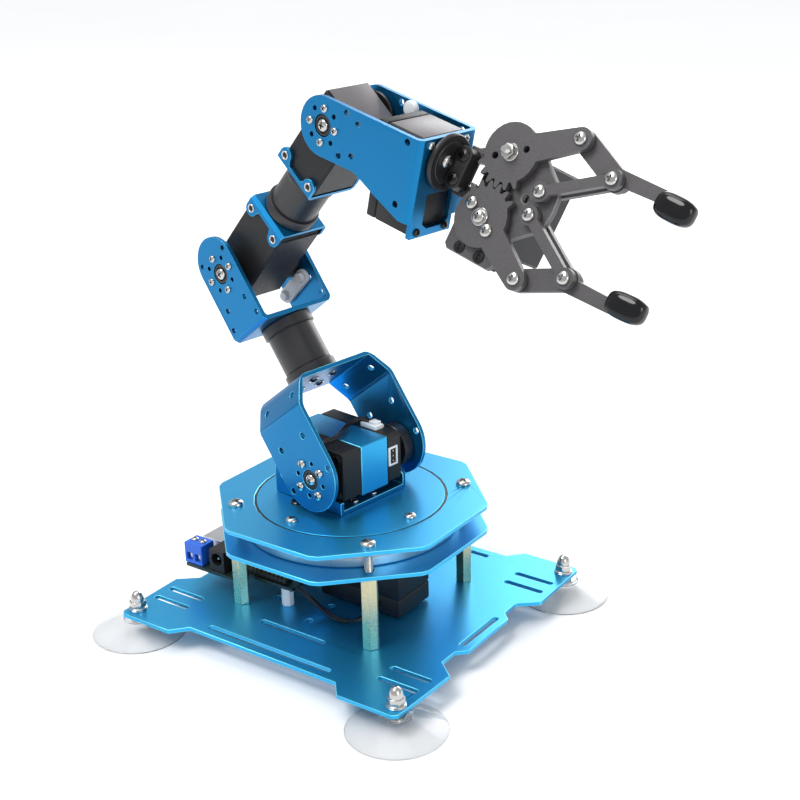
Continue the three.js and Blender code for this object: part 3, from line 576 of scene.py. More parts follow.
def flat_head(radius, height):
    profile = [(0, 0), (radius * 0.95, 0), (radius, height * 0.3), (radius * 0.96, height * 0.9),
               (radius * 0.88, height), (0, height)]
    return carved(lathe(profile, 28), cross_recess(radius * 0.62, height * 0.8, height))


def washer(outer, inner, thick):
    c = thick * 0.25
    outline = [(inner, 0), (outer - c, 0), (outer, c), (outer, thick - c), (outer - c, thick),
               (inner + c, thick), (inner, thick - c)]
    return ring(outline, 36)


def hex_nut(across, height, hole):
    body = prism(regular(6, across), 0, height, 0.22)
    bore = lathe([(0, -1), (hole, -1), (hole, height + 1), (0, height + 1)], 24)
    return carved(body, bore)


def acorn_nut(across, hex_height, total):
    """Flange, hexagon and dome of an acorn nut, as three meshes."""
    radius = across / 2 * 0.9
    neck = hex_height + 0.4
    profile = [(0, hex_height - 0.3), (radius, hex_height - 0.3), (radius, neck)]
    steps = 10
    for i in range(1, steps):
        a = i / steps * math.pi / 2
        profile.append((radius * math.cos(a), neck + (total - neck) * math.sin(a)))
    profile.append((0, total))
    flange = lathe([(0, 0), (across * 0.6, 0), (across * 0.6, 0.5), (across * 0.52, 0.9), (0, 0.9)], 36)
    return [flange, prism(regular(6, across), 0.5, hex_height, 0.3), lathe(profile, 36)]


def threaded(radius, z0, z1, thread=0.7):
    """Threaded rod, with rings in place of the helix."""
    root = radius * 0.88
    profile = [(0, z0)]
    for i in range(int((z1 - z0) / thread)):
        z = z0 + i * thread
        profile += [(root, z + 0.05), (radius, z + thread * 0.5)]
    profile += [(root, z1 - 0.05), (0, z1)]
    return lathe(profile, 24)


SCREW_M4 = pan_head(3.5, 2.4)
SCREW_M3 = pan_head(2.75, 1.9)
SCREW_M2 = pan_head(1.75, 1.2)
SCREW_CAP = flat_head(1.7, 0.45)
SCREW_FLUSH = flat_head(2.6, 0.5)
SCREW_HUB = pan_head(2.15, 1.5)


# ---------- sizes read from the frame's nodes ----------
SHEET_T = 2  # the folded sheets' thickness
FIT_GAP = 0.3  # air between pieces that are fastened together


def local_box(node, where):
    """Lowest and highest corner of a node, in the millimetres of one of the places above."""
    inverse = where.inverted()
    corners = [inverse @ v.co for v in frame["nodes"][node].data.vertices]
    return (Vector([min(c[i] for c in corners) for i in range(3)]),
            Vector([max(c[i] for c in corners) for i in range(3)]))


def local_span(node, where):
    """Lowest and highest Z of a node, in the millimetres of one of the places above."""
    low, high = local_box(node, where)
    return low.z, high.z


def box_mm(node):
    """Lowest and highest corner of a node, in the shared frame's millimetres."""
    return [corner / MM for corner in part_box(node)]


# ---------- servo cases ----------
JOINT_LINE = 0.18  # half the width of the line between two shells


def shells(node, body, where, low, high, cuts, ease=0.8):
    """A servo's case in shells stacked along Z with fine lines between them, standing for the node."""
    marks = [low.z, *(low.z + cut * (high.z - low.z) for cut in cuts), high.z]
    parts = []
    for i, (a, b) in enumerate(zip(marks, marks[1:])):
        bottom = a + (JOINT_LINE if i > 0 else 0)
        top = b - (JOINT_LINE if i < len(cuts) else 0)
        parts.append((box(low.x, high.x, low.y, high.y, bottom, top, ease), where))
    inset = Vector((0.5, 0.5, 0.5))
    a, b = low + inset, high - inset
    parts.append((box(a.x, b.x, a.y, b.y, a.z, b.z, 0.3), where))
    piece(f"{node}_shells", body, "servo", parts, [node])


# ---------- base ----------
PLATE_T = 2
CUP_X, CUP_Y = 74.3, 70
DECK_BOLT_XY = 37.7
DECK_BOLT_LOW = 30.4  # inside the standoff, 10 below the lower deck's top
DECK_HOLE_R = 45
CORNERS = (("front_left", -1, -1), ("front_right", 1, -1), ("rear_left", -1, 1), ("rear_right", 1, 1))
UPPER_DECK_TOP = box_mm("upper_deck")[1].z

TERMINAL_SCREWS_X = (-71, -66)
HEADER_PITCH = 2.54
HEADERS = ((2, 10, -42, -28), (3, 6, -68, 8), (2, 8, -40, 26))  # rows, columns, x and y of the first pin
CHIPS = (  # x from and to, y from and to, height, bevel
    (-50, -40, -8, 2, 1.6, 0.2),
    (-30, -22, 6, 14, 1.4, 0.2),
    (-58, -52, 10, 18, 4.2, 0.3),
    (-44, -31, -18.5, -11, 5.5, 0.5),
)
CAPACITORS = ((-28, -10), (-20, -4), (-60, -14))


def build_cups():
    neck = [(0, -0.2), (6.3, -0.2), (6.9, -0.55), (6.9, -0.9), (6.0, -1.25), (6.0, -1.45),
            (7.2, -1.8), (7.2, -2.3), (6.6, -2.75), (7.4, -3.2)]
    outside = [(9.5, -3.9), (13, -5.1), (17, -6.9), (20.2, -8.4), (21.6, -9.0), (22, -9.3), (21.8, -9.5)]
    inside = [(20.4, -9.5), (18, -8.7), (14, -7.3), (9, -5.7), (4, -4.9), (0, -4.7)]
    cup = lathe(neck + outside + inside, 72)
    stud = lathe([(0, -4.2), (1.9, -4.2), (1.9, PLATE_T), (0, PLATE_T)], 24)
    head = lathe([(0, -4.4), (3.8, -4.4), (3.8, -3.4), (0, -3.4)], 24)
    washer_t = 0.8
    nut = [moved(mesh, shift(0, 0, PLATE_T + washer_t)) for mesh in acorn_nut(7, 3.7, 8.6)]
    nut.append(moved(washer(4.4, 2.1, washer_t), shift(0, 0, PLATE_T)))
    for name, sx, sy in CORNERS:
        spot = BASE @ shift(sx * CUP_X, sy * CUP_Y, 0)
        piece(f"suction_cup_{name}_vinyl", "base", "clear", [(cup, spot)], [f"suction_cup_{name}"])
        turn = turned(13 + 25 * sx + 11 * sy)
        parts = [(mesh, spot @ turn) for mesh in nut]
        piece(f"suction_cup_{name}_nut", "base", "chrome", [*parts, (stud, spot), (head, spot)])


def build_deck_bolts():
    shank = threaded(2.0, DECK_BOLT_LOW, UPPER_DECK_TOP - 0.1)
    for name, sx, sy in CORNERS:
        spot = BASE @ shift(sx * DECK_BOLT_XY, sy * DECK_BOLT_XY, 0)
        head = spot @ shift(0, 0, UPPER_DECK_TOP) @ turned(20 + 31 * sx + 17 * sy)
        parts = [(shank, spot), (SCREW_M4, head)]
        piece(f"deck_bolt_{name}_screw", "base", "chrome", parts, [f"deck_bolt_{name}"])
        dressed(f"standoff_{name}", "zinc", 0.35)


def build_bearing():
    """Outer race with a fine groove round its middle, and inner race with eased outer edges."""
    z0, z1 = local_span("bearing_outer_ring", BASE)
    inner, outer, ease, groove = 44.3, 50.4, 0.6, 0.3
    mid = (z0 + z1) / 2
    outline = [(inner, z0), (outer - ease, z0), (outer, z0 + ease), (outer, mid - 0.5),
               (outer - groove, mid - 0.3), (outer - groove, mid + 0.3), (outer, mid + 0.5),
               (outer, z1 - ease), (outer - ease, z1), (inner, z1)]
    piece("bearing_outer_race", "base", "steel", [(ring(outline, 128), BASE)], ["bearing_outer_ring"])
    z0, z1 = local_span("bearing_inner_ring", TABLE)
    inner, outer, ease = 33, 43.7, 0.5
    outline = [(inner, z0), (outer - ease, z0), (outer, z0 + ease), (outer, z1 - ease),
               (outer - ease, z1), (inner, z1)]
    piece("bearing_inner_race", "turntable", "steel", [(ring(outline, 128), TABLE)],
          ["bearing_inner_ring"])


def square_post(x, y, half, z0, z1, bevel):
    return box(x - half, x + half, y - half, y + half, z0, z1, bevel)


def build_headers(board_top):
    """Black header blocks and the chips in one piece, and the headers' gold pins in another."""
    blocks, pins = [], []
    for rows, columns, first_x, first_y in HEADERS:
        for i in range(columns):
            for k in range(rows):
                x, y = first_x + i * HEADER_PITCH, first_y + k * HEADER_PITCH
                blocks.append((square_post(x, y, 1.2, board_top, board_top + 2.5, 0.3), BASE))
                pins.append((square_post(x, y, 0.32, board_top + 2.4, board_top + 8.4, 0.1), BASE))
    for x0, x1, y0, y1, height, bevel in CHIPS:
        blocks.append((box(x0, x1, y0, y1, board_top, board_top + height, bevel), BASE))
    piece("board_headers", "base", "chip", blocks)
    piece("board_pins", "base", "gold", pins)


def build_terminal_screws(board_top):
    low, high = box_mm("terminal_block")
    parts = [(SCREW_M2, BASE @ shift(x, low.y + 4.6, high.z)) for x in TERMINAL_SCREWS_X]
    for x in TERMINAL_SCREWS_X:
        clamp = box(x - 1.3, x + 1.3, low.y + 1.4, low.y + 3, board_top + 2, board_top + 5, 0.2)
        parts.append((clamp, BASE))
    piece("terminal_screws", "base", "chrome", parts)


def build_jack_pin(board_top):
    low, high = box_mm("dc_jack")
    pin = lathe([(0, 0), (0.9, 0), (0.9, 6.5), (0.5, 7.2), (0, 7.2)], 20)
    where = BASE @ shift((low.x + high.x) / 2, low.y + 8.5, board_top + 6.4) @ facing((0, -1, 0))
    piece("dc_jack_pin", "base", "chrome", [(pin, where)])


def build_controller():
    top = box_mm("controller_board")[1].z
    dressed("controller_board", "board", 0.12)
    dressed("board_standoff_front", "white", 0.4)
    dressed("board_standoff_rear", "white", 0.4)
    dressed("terminal_block", "terminal", 0.35)
    dressed("dc_jack", "servo", 0.5)
    dressed("usb_socket", "steel", 0.4)
    build_terminal_screws(top)
    build_jack_pin(top)
    build_headers(top)
    can = lathe([(0, 0), (3.1, 0), (3.1, 6.6), (2.8, 7), (2.4, 6.8), (0, 6.8)], 28)
    piece("board_capacitors", "base", "steel", [(can, BASE @ shift(x, y, top)) for x, y in CAPACITORS])
    tongue = box(-73, -66, -18, -12, top + 3, top + 4.2, 0.1)
    piece("usb_tongue", "base", "white", [(tongue, BASE)])


def build_base():
    for node in ("base_plate", "lower_deck", "upper_deck"):
        dressed(node, "deck", 0.28, "edge")
    build_cups()
    build_deck_bolts()
    build_bearing()
    build_controller()
    shells("yaw_servo", "base", BASE, *box_mm("yaw_servo"), cuts=(0.25, 0.78))


# ---------- turntable ----------
CABLE_R = 1.3
STRANDS = 3
TWIST = 0.55
GROMMET_X, GROMMET_Y = -12.5, -22
# centre lines of the two leads, from the plug or the board to the hole or the servo
BASE_CABLE = [
    (-11.6, -28.4, 13), (-8.2, -28.6, 12.4), (-4.6, -28.2, 9.8), (0.2, -27.9, 6.6), (5.4, -28, 4.3),
    (11, -28.6, 3.7), (16.4, -28.2, 3.6), (20.8, -25, 3.8), (22.8, -20.4, 5.2), (23.2, -16.4, 7.2),
    (23.2, -12.9, 8),
]
SHOULDER_CABLE = [
    (1.4, 14.8, 83.6), (-2.4, 14.8, 84.4), (-5.8, 13.6, 84.6), (-7.6, 10.4, 83.9), (-6.8, 6, 83.3),
    (-4.2, 1, 83.3), (-1, -5.4, 83.3), (0.6, -11, 83.4), (-0.6, -15.8, 83.7), (-4, -19.4, 82.6),
    (-7.8, -21.4, 79.4), (-10.6, -21.9, 74.6), (-12, -22, 68.6), (-12.4, -22, 62), (-12.5, -22, 55),
    (-12.5, -22, 48),
]


def strand_path(points, phase, offset):
    """Points beside a smooth line, going slowly round it."""
    path = []
    for k, point in enumerate(points):
        a = phase + k * TWIST
        before, after = points[max(k - 1, 0)], points[min(k + 1, len(points) - 1)]
        along = (Vector(after) - Vector(before)).normalized()
        side = along.orthogonal().normalized()
        other = along.cross(side)
        path.append(Vector(point) + (side * math.cos(a) + other * math.sin(a)) * offset)
    return path


def cable_strands(name, body, where, points, replaces):
    """Insulated wires laid side by side along a smooth line, twisting slowly."""
    radius = CABLE_R / 2
    for i in range(STRANDS):
        curve = bpy.data.curves.new(f"{name}_{i + 1}", "CURVE")
        curve.dimensions = "3D"
        curve.bevel_depth = radius * MM
        curve.bevel_resolution = 4
        curve.resolution_u = 8
        spline = curve.splines.new("NURBS")
        spline.points.add(len(points) - 1)
        spline.use_endpoint_u = True
        spline.order_u = 4
        for k, point in enumerate(strand_path(points, 2 * math.pi * i / STRANDS, radius * 0.98)):
            spline.points[k].co = (*(where @ point), 1)
        curve.materials.append(MATERIALS["jacket"])
        obj = bpy.data.objects.new(f"{name}_{i + 1}", curve)
        collection.objects.link(obj)
        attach(obj, body)
        if i == 0:
            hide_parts(replaces)


def build_disc_gap():
    """Dark ring sunk in the gap between the turntable disc and the upper deck's hole: painted shade in
    the gap.
    """
    gap, sunk, height = 0.1, 0.35, 1.2
    inner = local_box("turntable_disc", TABLE)[1].x + gap
    outer = DECK_HOLE_R - gap
    top = UPPER_DECK_TOP - sunk
    outline = [(inner, top - height), (outer, top - height), (outer, top), (inner, top)]
    piece("turntable_gap_shade", "base", "nylon", [(ring(outline, 128), BASE)])


def build_turntable():
    build_disc_gap()
    dressed("turntable_disc", "deck", 0.25)
    dressed("shoulder_bracket", "arm", 0.3, "edge")
    disc_screw_r = 37.5
    heads = []
    for i, point in enumerate(circle(disc_screw_r, UPPER_DECK_TOP, 4)):
        heads.append((SCREW_M3, TABLE @ shift(*point) @ Matrix.Rotation(0.4 + i, 4, "Z")))
    piece("disc_screws", "turntable", "chrome", heads)
    grommet = ring([(1.5, 0), (3.4, 0), (3.4, 0.5), (2.9, 1.0), (1.9, 1.0), (1.5, 0.6)], 32)
    where = TABLE @ shift(GROMMET_X, GROMMET_Y, UPPER_DECK_TOP)
    piece("cable_grommet", "turntable", "rubber", [(grommet, where)])
    bracket_floor = local_span("shoulder_bracket", TABLE)[0] + SHEET_T
    spots = ((10.5, -8), (10.5, 4), (-26, -12), (-26, 14))
    screws = [(SCREW_M2, TABLE @ shift(x, y, bracket_floor)) for x, y in spots]
    piece("bracket_screws", "turntable", "chrome", screws)
    build_shoulder_servo()
    cable_strands("shoulder_cable_strand", "turntable", TABLE, SHOULDER_CABLE, "shoulder_servo_cable")
    cable_strands("base_cable_strand", "base", BASE, BASE_CABLE, "yaw_servo_cable")


def build_shoulder_servo():
    dressed("shoulder_servo_front", "servo", 0.7, segments=3)
    dressed("shoulder_servo_rear", "servo", 0.7, segments=3)
    dressed("shoulder_servo_case", "deck", 0.55, "edge", segments=3)
    low, high = local_box("shoulder_servo_front", TABLE)
    rear_low, rear_high = local_box("shoulder_servo_rear", TABLE)
    build_case_screws(low, high, rear_high.y)
    mid_y = (rear_low.y + rear_high.y) / 2 - 1.2
    mid_z = (low.z + high.z) / 2 + 1.4
    build_end_socket(rear_high.x, mid_y, mid_z)
    build_top_plug(rear_high.z)


def build_case_screws(low, high, rear):
    """A boss with a black screw in each corner of both covers."""
    corner = 3.4
    bosses, screws = [], []
    boss = lathe([(0, 0), (2.3, 0), (2.3, 0.35), (2.0, 0.5), (0, 0.5)], 28)
    for x in (low.x + corner, high.x - corner):
        for z in (low.z + corner, high.z - corner):
            for y, out in ((low.y, -1), (rear, 1)):
                spot = TABLE @ shift(x, y, z) @ facing((0, out, 0))
                bosses.append((boss, spot))
                screws.append((SCREW_CAP, spot @ shift(0, 0, 0.4)))
    piece("shoulder_servo_bosses", "turntable", "servo", bosses)
    piece("shoulder_servo_screws", "turntable", "black_screw", screws)


def build_end_socket(end, y, z):
    """Socket with three pins on the end that faces the gripper."""
    body = box(end - 0.4, end + 0.5, y - 2.9, y + 2.9, z - 4.6, z + 4.6, 0.15)
    hollow = box(end - 0.2, end + 2, y - 1.9, y + 1.9, z - 3.7, z + 3.7, 0)
    piece("servo_socket", "turntable", "white", [(carved(body, hollow), TABLE)])
    pins = []
    for pin_z in (z - 2.5, z, z + 2.5):
        pin = box(end - 0.3, end + 0.35, y - 0.3, y + 0.3, pin_z - 0.3, pin_z + 0.3, 0.05)
        pins.append((pin, TABLE))
    piece("servo_socket_pins", "turntable", "gold", pins)


def build_top_plug(top):
    """White plug on top of the rear cover, with a raised latch and a low lip."""
    blocks = [
        box(-4.6, 5.4, 12.1, 17.3, top, top + 2.2, 0.35),
        box(0.2, 4.6, 12.9, 16.7, top + 2, top + 3.6, 0.3),
        box(-4, 4.8, 16.8, 18.2, top, top + 1.3, 0.2),
    ]
    piece("servo_plug", "turntable", "white", [(block, TABLE) for block in blocks])


# ---------- horns inside the forks ----------
HUB_R, HORN_R = 6.5, 10.4
HORN_SCREWS_R = 8.0


def horn_profile(near, face, far):
    """A horn's hub from near to face, its disc from face to far, and the ring that stands in the wall."""
    hub = [(0, near), (HUB_R - 0.2, near), (HUB_R, near + 0.2), (HUB_R, face)]
    disc = [(HORN_R - 0.4, face), (HORN_R, face + 0.4), (HORN_R, far - 0.5), (HORN_R - 0.5, far)]
    in_wall = [(5.2, far), (4.6, far), (4.6, far + 1.7), (4.3, far + 2.0), (3.4, far + 2.0),
               (3.2, far + 1.4), (0, far + 1.4)]
    return hub + disc + in_wall


def fork_horns(joint_name, body, where, fork, starts, screw, screws_r=HORN_SCREWS_R):
    """Horn and idler inside a fork's two walls, with four screws and a centre screw on each.

    starts says how far from the middle the two hubs begin, on the near side and on the far side.
    """
    low, high = local_box(fork, where)
    hubs, screws = [], []
    for sign, outer, start in ((-1, -low.y, starts[0]), (1, high.y, starts[1])):
        inner = outer - SHEET_T - FIT_GAP
        face = start + min(2.6, (inner - start) / 2)
        turn = facing((0, sign, 0))
        hubs.append((lathe(horn_profile(start, face, inner)), where @ turn))
        for i, (x, z, y) in enumerate(circle(screws_r, sign * outer, 4)):
            spin = Matrix.Rotation(0.3 + 1.1 * i, 4, "Z")
            screws.append((screw, where @ shift(x, y, z) @ turn @ spin))
        screws.append((SCREW_M3, where @ shift(0, sign * (inner + 1.4), 0) @ turn))
    piece(f"{joint_name}_horns", body, "nylon", hubs, [f"{joint_name}_horn", f"{joint_name}_idler"])
    piece(f"{joint_name}_screws", body, "chrome", screws)


# ---------- upper arm ----------
def build_upper_arm():
    dressed("shoulder_fork", "arm", 0.4, "edge", bend=1.2)
    dressed("elbow_fork", "arm", 0.4, "edge", bend=0.6)
    fork_horns("shoulder", "upper_arm", ARM, "shoulder_fork", (18.0, 20.5), SCREW_HUB)
    fork_horns("elbow", "upper_arm", ELBOW, "elbow_fork", (12.65, 12.65), SCREW_M2)
    low, high = local_box("upper_arm_tube", ARM)
    middle = (low.y + high.y) / 2
    pipe = upper_pipe(low.z, high.z)
    piece("upper_arm_pipe", "upper_arm", "tube", [(pipe, ARM @ shift(0, middle, 0))], ["upper_arm_tube"])
    build_flange_screws(middle)
    build_elbow_clip()


def upper_pipe(z0, z1):
    """Straight tube with a plain collar at each end and a narrow groove beside each collar."""
    tube_r, collar_r, collar_h, step = 11.4, 12.4, 5.4, 0.3
    half = [(0, 0), (collar_r - step, 0), (collar_r, step), (collar_r, collar_h - 0.9),
            (collar_r - step, collar_h - 0.6), (tube_r - step, collar_h - 0.5),
            (tube_r - step, collar_h - 0.1), (tube_r, collar_h + 0.1)]
    profile = [(r, z0 + z) for r, z in half] + [(r, z1 - z) for r, z in reversed(half)]
    return lathe(profile, 96)


def build_flange_screws(middle):
    """Screws through both forks' webs into the ends of the upper arm's tube."""
    web = local_span("shoulder_fork", ARM)[1] - SHEET_T
    elbow_web = local_span("elbow_fork", ELBOW)[0] + SHEET_T
    flange_r = 8.6
    spots = []
    for i in range(4):
        a = math.pi / 4 + i * math.pi / 2
        x, y = flange_r * math.cos(a), middle + flange_r * math.sin(a)
        spots.append(ARM @ shift(x, y, web) @ facing((0, 0, -1)))
        spots.append(ELBOW @ shift(x, y, elbow_web))
    plate = washer(2.6, 1.1, 0.4)
    piece("tube_flange_screws", "upper_arm", "black_screw", [(SCREW_M2, spot) for spot in spots])
    piece("tube_flange_washers", "upper_arm", "chrome", [(plate, spot) for spot in spots])


def build_elbow_clip():
    """Clear clip that holds the cable inside the elbow fork's far wall."""
    half, end_r = 8, 3.8
    wall = local_box("elbow_fork", ELBOW)[1].y - SHEET_T
    points = [(math.copysign(half, x) + x, y) for x, y, _ in circle(end_r, 0, 24)]
    bar = prism(points, 0, 2.2, 0.5)
    boss = lathe([(0, 2), (2.4, 2), (2.4, 3.6), (2.0, 4.1), (0, 4.1)], 32)
    where = ELBOW @ shift(-3, wall, -14.8) @ facing((0, -1, 0)) @ turned(7)
    bosses = [(boss, where @ shift(x, 0, 0)) for x in (-half, half)]
    piece("elbow_cable_clip", "upper_arm", "frosted", [(bar, where), *bosses])


# ---------- forearm ----------
# How far the grey patches that paint the servos' sheen sink into the case and stand out of it.
SHEEN_PATCH_SUNK, SHEEN_PATCH_PROUD = 0.1, 0.12


def build_forearm():
    dressed("elbow_servo", "servo", 0.35)
    build_elbow_servo_screws()
    dressed("wrist_servo", "servo", 0.35)
    build_wrist_servo_sheen()
    dressed("elbow_cap", "arm", 0.25, "edge")
    dressed("wrist_cap", "arm", 0.25, "edge")
    build_cap_screws()
    build_forearm_pipe()


def build_elbow_servo_screws():
    low, high = local_box("elbow_servo", FOREARM)
    corner = 3
    screws = []
    for x in (low.x + corner, high.x - corner):
        for y in (low.y + corner, high.y - corner):
            screws.append((SCREW_CAP, FOREARM @ shift(x, y, low.z + 0.1) @ facing((0, 0, -1))))
    piece("elbow_servo_screws", "forearm", "steel", screws)


def build_wrist_servo_sheen():
    # Grey patch over the wrist servo's top: painted sheen.
    low, high = local_box("wrist_servo", FOREARM)
    margin = 1
    painted_sheen = box(low.x + margin, high.x - margin, low.y + margin, high.y - margin,
                high.z - SHEEN_PATCH_SUNK, high.z + SHEEN_PATCH_PROUD, 0.05)
    piece("wrist_servo_painted_sheen", "forearm", "painted_sheen", [(painted_sheen, FOREARM)])


def build_cap_screws():
    """Two black screws with bright rims on each side of both cap brackets."""
    screw_x, screw_y, from_open_end = 9, 14, 3.7
    rim = washer(2.0, 1.3, 0.3)
    disc = lathe([(0, 0), (1.3, 0), (1.3, 0.2), (1.0, 0.35), (0, 0.35)], 24)
    levels = (local_span("elbow_cap", FOREARM)[0] + from_open_end,
              local_span("wrist_cap", FOREARM)[1] - from_open_end)
    spots = []
    for z in levels:
        for x in (-screw_x, screw_x):
            for side in (-1, 1):
                spots.append(FOREARM @ shift(x, side * screw_y, z) @ facing((0, side, 0)))
    piece("cap_screw_rims", "forearm", "chrome", [(rim, spot) for spot in spots])
    piece("cap_screws", "forearm", "black_screw", [(disc, spot) for spot in spots])


def build_forearm_pipe():
    """Tube with a wide collar at the elbow end and a narrow one at the wrist end."""
    z0, z1 = local_span("forearm_tube", FOREARM)
    profile = [(0, z0), (11.9, z0), (12.2, z0 + 0.3), (12.2, z0 + 4.2), (11.9, z0 + 4.6),
               (10.7, z0 + 4.7), (10.7, z0 + 5.1), (11, z0 + 5.3), (11, z1 - 3.8), (10.8, z1 - 3.6),
               (11.5, z1 - 3.3), (11.6, z1 - 3), (11.6, z1 - 0.4), (11.3, z1), (0, z1)]
    piece("forearm_pipe", "forearm", "tube", [(lathe(profile, 96), FOREARM)], ["forearm_tube"])


# ---------- hand ----------
def build_hand():
    dressed("hand_bracket", "arm", 0.4, "edge", bend=0.6)
    fork_horns("wrist", "hand", HAND, "hand_bracket", (12.5, 12.5), SCREW_M2, screws_r=7.3)
    low, high = local_box("roll_servo", HAND)
    web_front = local_span("hand_bracket", HAND)[1]
    high.z = web_front - SHEET_T - FIT_GAP
    shells("roll_servo", "hand", HAND, low, high, cuts=(0.2,), ease=0.6)
    # Grey patch on the roll servo's side: painted sheen.
    painted_sheen = box(low.x - SHEEN_PATCH_PROUD, low.x + SHEEN_PATCH_SUNK, low.y + 1, high.y - 1,
                low.z + 5.6, high.z - 1, 0.05)
    piece("roll_servo_painted_sheen", "hand", "painted_sheen", [(painted_sheen, HAND)])
    build_roll_boss(high.z, web_front)
    spots = ((27.4, -10.5), (27.4, 6.2), (-9.6, -10.2), (-9.6, 10.2))
    screws = [(SCREW_M2, HAND @ shift(x, y, web_front)) for x, y in spots]
    piece("web_screws", "hand", "black_screw", screws[:2])
    piece("boss_screws", "hand", "chrome", screws[2:])
    clip = lathe([(0, 0), (3.5, 0), (3.5, 1.6), (3.1, 2.4), (2.2, 2.7), (0, 2.7)], 32)
    far_wall = local_box("hand_bracket", HAND)[1].y - SHEET_T
    where = HAND @ shift(-9.2, far_wall, 19) @ facing((0, -1, 0))
    piece("wrist_cable_clip", "hand", "white", [(clip, where)])


def build_roll_boss(servo_top, web_front):
    """The roll servo's round boss, which fills the web's hole and ends in a thin rim."""
    roll_x = -1.7
    profile = [(0, servo_top - 0.5), (9, servo_top - 0.5), (9, web_front - 0.2), (9.3, web_front),
               (8.6, web_front + 0.3), (0, web_front + 0.3)]
    piece("roll_servo_boss", "hand", "servo", [(lathe(profile, 64), HAND @ shift(roll_x, 0, 0))])


# ---------- gripper ----------
GEAR_PIVOT, ARM_PIVOT = (21.5, 13.77), (47.58, 29.19)
SUPPORT_PIVOT, FINGER_PIVOT = (41.2, 4.9), (67.28, 20.32)
LINK_TOP = -3.2
PALM_TOP = -6.8


def build_gripper():
    profile = [(0, -2.3), (11.4, -2.3), (12, -1.8), (12, -0.6), (11.5, 0), (9.6, 0), (9.3, -0.3),
               (8.9, -0.3), (8.6, 0), (0, 0)]
    horn = lathe(profile, 72)
    piece("roll_horn_disc", "gripper", "nylon", [(horn, GRIP @ facing((1, 0, 0)))], ["roll_horn"])
    dressed("gripper_mount_block", "nylon", 0.4, segments=3)
    dressed("palm_plate", "grip", 0.45, "grip_highlight_edge", segments=3)
    dressed("gripper_servo", "servo", 0.6, segments=3)
    for node in ("driven_gear_link", "drive_gear_link", "upper_support_link", "lower_support_link",
                 "upper_finger", "lower_finger"):
        dressed(node, "grip", 0.4, "grip_highlight_edge", segments=3)
    build_mount_screws()
    build_link_screws()
    build_fingertip("upper_fingertip_cap", "upper_finger_body", 1)
    build_fingertip("lower_fingertip_cap", "lower_finger_body", -1)


def build_mount_screws():
    block_x, block_top = 4.3, -0.4
    block = [(SCREW_M3, GRIP @ shift(block_x, y, block_top)) for y in (-5, 5)]
    piece("mount_block_screws", "gripper", "black_screw", block)
    centre = GRIP @ shift(0.1, 0, 3.4) @ facing((1, 0, 0))
    piece("roll_horn_screw", "gripper", "chrome", [(SCREW_M3, centre)])
    palm = [(SCREW_FLUSH, GRIP @ shift(x, y, PALM_TOP)) for x, y in ((16.2, -28), (26.5, -28.2))]
    piece("palm_screws", "gripper", "black_screw", palm)


def on_link(point, side=1, height=0.0):
    """Matrix of a spot on top of the links, mirrored to the lower half when side is -1."""
    return GRIP @ shift(point[0], side * point[1], LINK_TOP + height)


def build_link_screws():
    """Screws, washers and nuts at the pivots of both gears and both support links."""
    drive = [(washer(3.7, 1.6, 0.9), on_link(GEAR_PIVOT, -1)), (SCREW_M3, on_link(GEAR_PIVOT, -1, 0.9)),
             (SCREW_M3, on_link((15.2, -10.1))), (SCREW_M3, on_link((26.9, -17.5))),
             (SCREW_M3, on_link(ARM_PIVOT, -1))]
    piece("drive_gear_screws", "drive_link", "chrome", drive)
    driven = [(washer(3.6, 1.6, 0.6), on_link(GEAR_PIVOT)),
              (hex_nut(5.5, 2.4, 1.5), on_link(GEAR_PIVOT, 1, 0.6)),
              (threaded(1.5, 0, 5.6, 0.5), on_link(GEAR_PIVOT)), (SCREW_M3, on_link(ARM_PIVOT))]
    piece("driven_gear_screws", "driven_link", "chrome", driven)
    rear = local_span("upper_support_link", GRIP)[0]
    nut_h = 1.8
    nut = hex_nut(5, nut_h, 1.3)
    for side, body in ((1, "upper_support"), (-1, "lower_support")):
        parts = []
        for point in (SUPPORT_PIVOT, FINGER_PIVOT):
            parts.append((SCREW_M3, on_link(point, side)))
            parts.append((nut, GRIP @ shift(point[0], side * point[1], rear - nut_h)))
        piece(f"{body}_screws", body, "chrome", parts)


def rounded_block(half, power):
    """Superellipsoid: a block whose edges and corners melt into each other."""
    around, up = 48, 32
    bm = bmesh.new()

    def point(longitude, latitude):
        level = math.cos(latitude)
        d = Vector((math.sin(latitude), level * math.cos(longitude), level * math.sin(longitude)))
        size = sum(abs(d[i] / half[i]) ** power for i in range(3)) ** (-1 / power)
        return bm.verts.new(d * size)

    ends = [point(0, -math.pi / 2), point(0, math.pi / 2)]
    rings = []
    for k in range(1, up):
        latitude = math.pi * (k / up - 0.5)
        rings.append([point(2 * math.pi * i / around, latitude) for i in range(around)])
    for i in range(around):
        j = (i + 1) % around
        bm.faces.new((ends[0], rings[0][j], rings[0][i]))
        bm.faces.new((ends[1], rings[-1][i], rings[-1][j]))
        for lower, upper in zip(rings, rings[1:]):
            bm.faces.new((lower[i], lower[j], upper[j], upper[i]))
    bmesh.ops.recalc_face_normals(bm, faces=bm.faces)
    return mesh_of(bm)


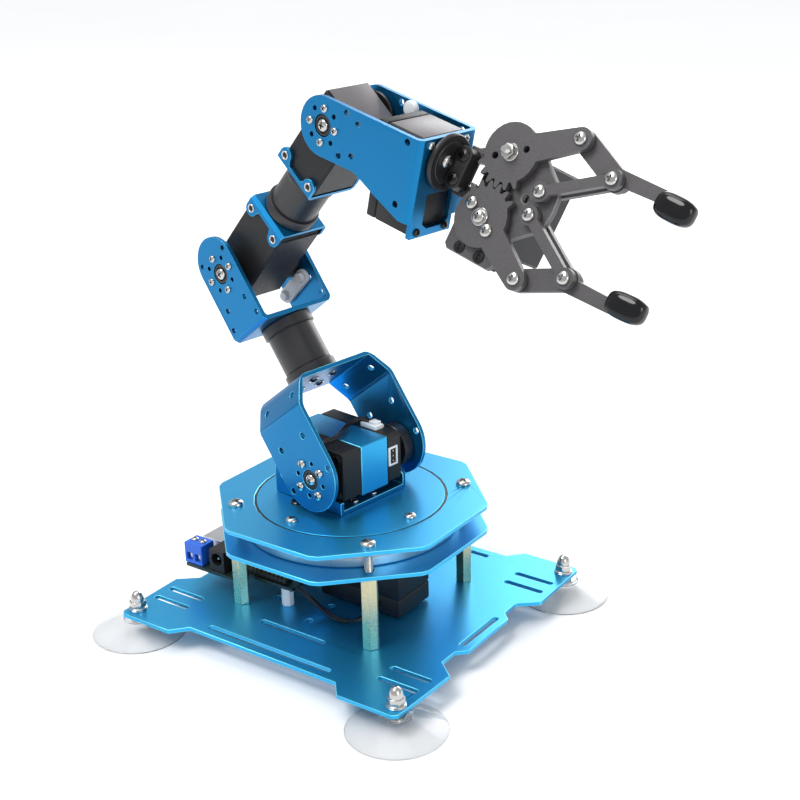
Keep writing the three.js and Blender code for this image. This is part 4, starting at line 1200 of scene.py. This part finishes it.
def build_fingertip(node, body, side):
    """Dipped rubber boot inside the node's box, turned a little towards the other finger."""
    fill, roundness, back, degrees = 0.95, 3.0, 0.4, 2
    low, high = local_box(node, GRIP)
    boot = rounded_block((high - low) / 2 * fill, roundness)
    where = GRIP @ Matrix.Translation((low + high) / 2) @ shift(-back, 0, 0) @ turned(-degrees * side)
    piece(f"{node}_rubber", body, "rubber", [(boot, where)], [node])


build_base()
build_turntable()
build_upper_arm()
build_forearm()
build_hand()
build_gripper()


# ---------- floor and light ----------
FLOOR_HALF = 6.0
FLOOR_GAP = 0.0001
SKY_COLOUR, SKY_STRENGTH = (0.95, 0.97, 1.0, 1), 0.62
LIGHTS_AIM = Vector((0, 0, 0.1))
SUN_AT = (-0.45, -0.8, 1.6)
AREA_LIGHTS = (  # name, place, size and watts
    ("window", (-0.2, 1.5, 0.62), 1.2, 16),
    ("fill", (1.5, -0.5, 0.6), 0.7, 6),
    ("top", (-0.3, 0.2, 1.6), 0.8, 6),
)


def build_floor():
    bm = bmesh.new()
    corners = ((-1, -1), (1, -1), (1, 1), (-1, 1))
    floor_z = cad_low.z - FLOOR_GAP
    bm.faces.new([bm.verts.new((x * FLOOR_HALF, y * FLOOR_HALF, floor_z)) for x, y in corners])
    mesh = mesh_of(bm, "floor")
    mesh.materials.append(pale_floor())
    floor = bpy.data.objects.new("floor", mesh)
    collection.objects.link(floor)


def add_light(data, spot):
    light = bpy.data.objects.new(data.name, data)
    light.location = spot
    light.rotation_mode = "QUATERNION"
    light.rotation_quaternion = (LIGHTS_AIM - Vector(spot)).to_track_quat("-Z", "Y")
    collection.objects.link(light)


def build_lights():
    world = bpy.data.worlds.new("studio")
    bpy.context.scene.world = world
    world.use_nodes = True
    background = world.node_tree.nodes["Background"]
    background.inputs["Color"].default_value = SKY_COLOUR
    background.inputs["Strength"].default_value = SKY_STRENGTH
    sun = bpy.data.lights.new("sun", "SUN")
    sun.energy = 2.0
    sun.angle = math.radians(30)
    add_light(sun, SUN_AT)
    for name, spot, size, watts in AREA_LIGHTS:
        data = bpy.data.lights.new(name, "AREA")
        data.energy = watts
        data.size = size
        add_light(data, spot)
    bpy.context.scene.view_settings.view_transform = "Standard"


build_floor()
build_lights()
